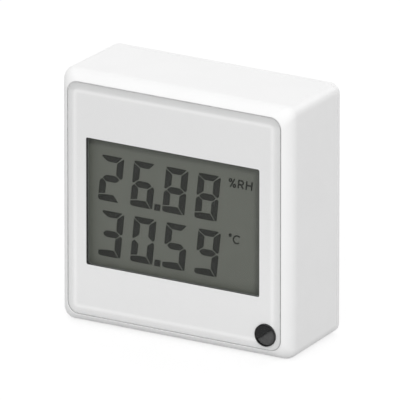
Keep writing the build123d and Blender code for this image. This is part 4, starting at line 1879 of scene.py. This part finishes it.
@dataclass
class BackCover:
    """Full-size cover plate with a stepped inside, and a lip with gaps for its catches."""

    outside: Outside
    button: PairingButton
    back_easing: float = 0.3 * MM
    lip_gap: float = 0.25 * MM
    lip: float = 1.0 * MM
    lip_depth: float = 1.6 * MM
    inner_step: float = 0.6 * MM
    button_clearance: float = 0.3 * MM

    def lip_frame(self, inner: float) -> bpy.types.Object:
        """Builds the locating lip as a square frame and cuts the catches' gaps out of it.

        Args:
            inner: Depth of the plate's inner face.

        Returns:
            The lip.
        """
        o = self.outside
        edge = o.wall + self.lip_gap
        front = inner - self.lip_depth
        inset = [edge, edge, edge + self.lip, edge + self.lip]
        corner = [o.inner_corner, o.inner_corner, o.inner_corner / 2, o.inner_corner / 2]
        lip = o.rings(inset, [inner, front, front, inner], corner)
        made = Draft().rings(lip, closed=True).build("cover_lip")
        reach = self.lip_gap + self.lip + CUT_PAST
        gaps = o.at_catches(front - CUT_PAST, inner + CUT_PAST, reach)
        return carved(made, [gaps.build("gap_cutter")])

    def build(self) -> None:
        """Builds the plate and its lip, and dresses the catches."""
        o = self.outside
        inner = o.seam - self.inner_step
        edge = o.wall + self.lip_gap
        eased = o.seam + o.easing
        rows = [(edge, inner, o.inner_corner), (edge, o.seam, o.inner_corner)]
        rows += [(o.drafted(o.seam) + o.easing, o.seam, o.corner)]
        rows += [(o.drafted(eased), eased, o.corner)]
        last = o.drafted(o.cover_back) + self.back_easing
        middle = o.cover_back - self.back_easing
        turn = arc(0, 90, self.back_easing, EASING_STEPS)
        rows += [(last - x, middle + y, o.corner) for x, y in turn]
        inset, y, corner = np.array(rows).T
        plate = o.rings(inset, y, corner)
        radius = self.button.radius + self.button_clearance
        profile = [(radius, inner), (radius, o.cover_back - o.chamfer)]
        profile += [(radius + o.chamfer, o.cover_back)]
        hole = turned(profile, middle_of("pairing_button"))
        draft = Draft().rings(plate).rings(hole)
        draft.flat(plate[0], [hole[0]]).flat(plate[-1], [hole[-1]])
        cover = draft.build("cover_plate")
        placed(cover, HOUSING_WHITE, "cover", ["back_cover"])
        placed(self.lip_frame(inner), HOUSING_WHITE, "cover")
        dress("cover_catches", HOUSING_WHITE)


# Studio


@dataclass(frozen=True)
class Lamp:
    """A square soft lamp: where it hangs, the length of its side and its power in watts."""

    name: str
    place: tuple[float, float, float]
    side: float
    power: float
    highlight: bool = False

    def build(self, aim: Vector) -> None:
        """Hangs the lamp. It gives only a highlight, or everything but that.

        Args:
            aim: The point that it looks at.
        """
        light = bpy.data.lights.new(self.name, "AREA")
        light.shape = "SQUARE"
        light.size = self.side
        light.energy = self.power
        lamp = added(self.name, light)
        lamp.visible_glossy = self.highlight
        lamp.visible_diffuse = not self.highlight
        lamp.location = self.place
        lamp.rotation_euler = (aim - lamp.location).to_track_quat("-Z", "Y").to_euler()


@dataclass
class Studio:
    """Pale floor, soft lamps and the camera at the photograph's angle."""

    azimuth: float = math.radians(30.04)
    elevation: float = math.radians(19.14)
    distance: float = 4.0
    pixels_per_metre: float = 4091.0
    image_side: float = 400.0
    aim: tuple[float, float, float] = (0.274 * MM, 0.0, 33.01 * MM)
    nearest: float = 0.1
    floor_size: float = 1.6
    ambient: float = 0.79
    floor_level: float = 0.5
    floor_seen: float = 0.3
    floor_glow: float = 0.74
    lamp_aim: tuple[float, float, float] = (0.0, 0.0, 0.03)
    lamps: tuple[Lamp, ...] = (
        Lamp("key", (0.5, -0.95, 0.62), 0.8, 7.0),
        Lamp("overhead", (0.0, 0.0, 1.2), 0.8, 1.4),
        Lamp("behind", (-0.75, 0.85, 0.5), 0.8, 3.0),
        Lamp("edge", (0.36, 0.9, 0.52), 0.5, 1.2, highlight=True),
    )

    def camera(self) -> None:
        """Sets a long lens, far away, so that the view has almost no perspective."""
        data = bpy.data.cameras.new("camera")
        data.lens = data.sensor_width * self.distance / (self.image_side / self.pixels_per_metre)
        data.clip_start = self.nearest
        data.clip_end = 3 * self.distance
        camera = added("camera", data)
        back = Vector((
            math.sin(self.azimuth) * math.cos(self.elevation),
            -math.cos(self.azimuth) * math.cos(self.elevation),
            math.sin(self.elevation),
        ))
        camera.location = Vector(self.aim) + back * self.distance
        camera.rotation_euler = (-back).to_track_quat("-Z", "Y").to_euler()
        bpy.context.scene.camera = camera

    def seen(self, graph: Graph) -> Signal:
        """1 for rays that show the floor or the world, directly or in glass or gloss.

        Args:
            graph: The graph that needs the mask.

        Returns:
            The mask.
        """
        rays = ("Is Camera Ray", "Is Glossy Ray", "Is Transmission Ray")
        first, second, third = (graph.node("ShaderNodeLightPath", output=ray) for ray in rays)
        return first.larger(second.larger(third))

    def floor(self) -> None:
        """Lays the floor, seen as white with the object's shadow.

        Its paper is darker where it is seen than in the light that it sends back, and a glow that
        is only seen makes up for that.
        """
        corners = QUADRANTS * self.floor_size / 2
        mesh = bpy.data.meshes.new("floor")
        mesh.from_pydata([(x, y, 0.0) for x, y in corners], [], [(0, 1, 2, 3)])
        floor = added("floor", mesh)
        graph = Graph(bpy.data.materials.new("floor_paper"))
        seen = self.seen(graph)
        level = seen * (self.floor_seen - self.floor_level) + self.floor_level
        paper = graph.node("ShaderNodeBsdfDiffuse", sockets={"Color": level})
        glow = graph.node("ShaderNodeEmission", sockets={"Strength": seen * self.floor_glow})
        both = graph.node("ShaderNodeAddShader", sockets={0: paper, 1: glow})
        mesh.materials.append(graph.finish(both))

    def world(self) -> None:
        """Even light from all round, seen as plain white."""
        graph = Graph(bpy.data.worlds.new("studio"))
        strength = self.seen(graph) * (1 - self.ambient) + self.ambient
        sky = graph.node("ShaderNodeBackground", sockets={"Strength": strength})
        bpy.context.scene.world = graph.finish(sky, "World")

    def build(self) -> None:
        """Sets up the whole studio."""
        self.camera()
        self.floor()
        self.world()
        for lamp in self.lamps:
            lamp.build(Vector(self.lamp_aim))
        bpy.context.scene.view_settings.view_transform = "Standard"


def clear_startup() -> None:
    """Removes the cube, light and camera that a new file starts with."""
    for name in ("Cube", "Light", "Camera"):
        if name in bpy.data.objects:
            bpy.data.objects.remove(bpy.data.objects[name])


def main() -> None:
    """Builds every sub-assembly in order."""
    logging.basicConfig(level=logging.INFO, format="%(name)s: %(message)s")
    clear_startup()
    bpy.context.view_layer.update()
    outside = Outside()
    button = PairingButton()
    parts = (
        FrontShell(outside),
        FrontLens(outside),
        Display(outside),
        SensorPort(outside),
        Electronics(outside),
        Power(outside),
        BackCover(outside, button),
        button,
        Studio(),
    )
    for part in parts:
        part.build()


if __name__ == "__main__":
    main()
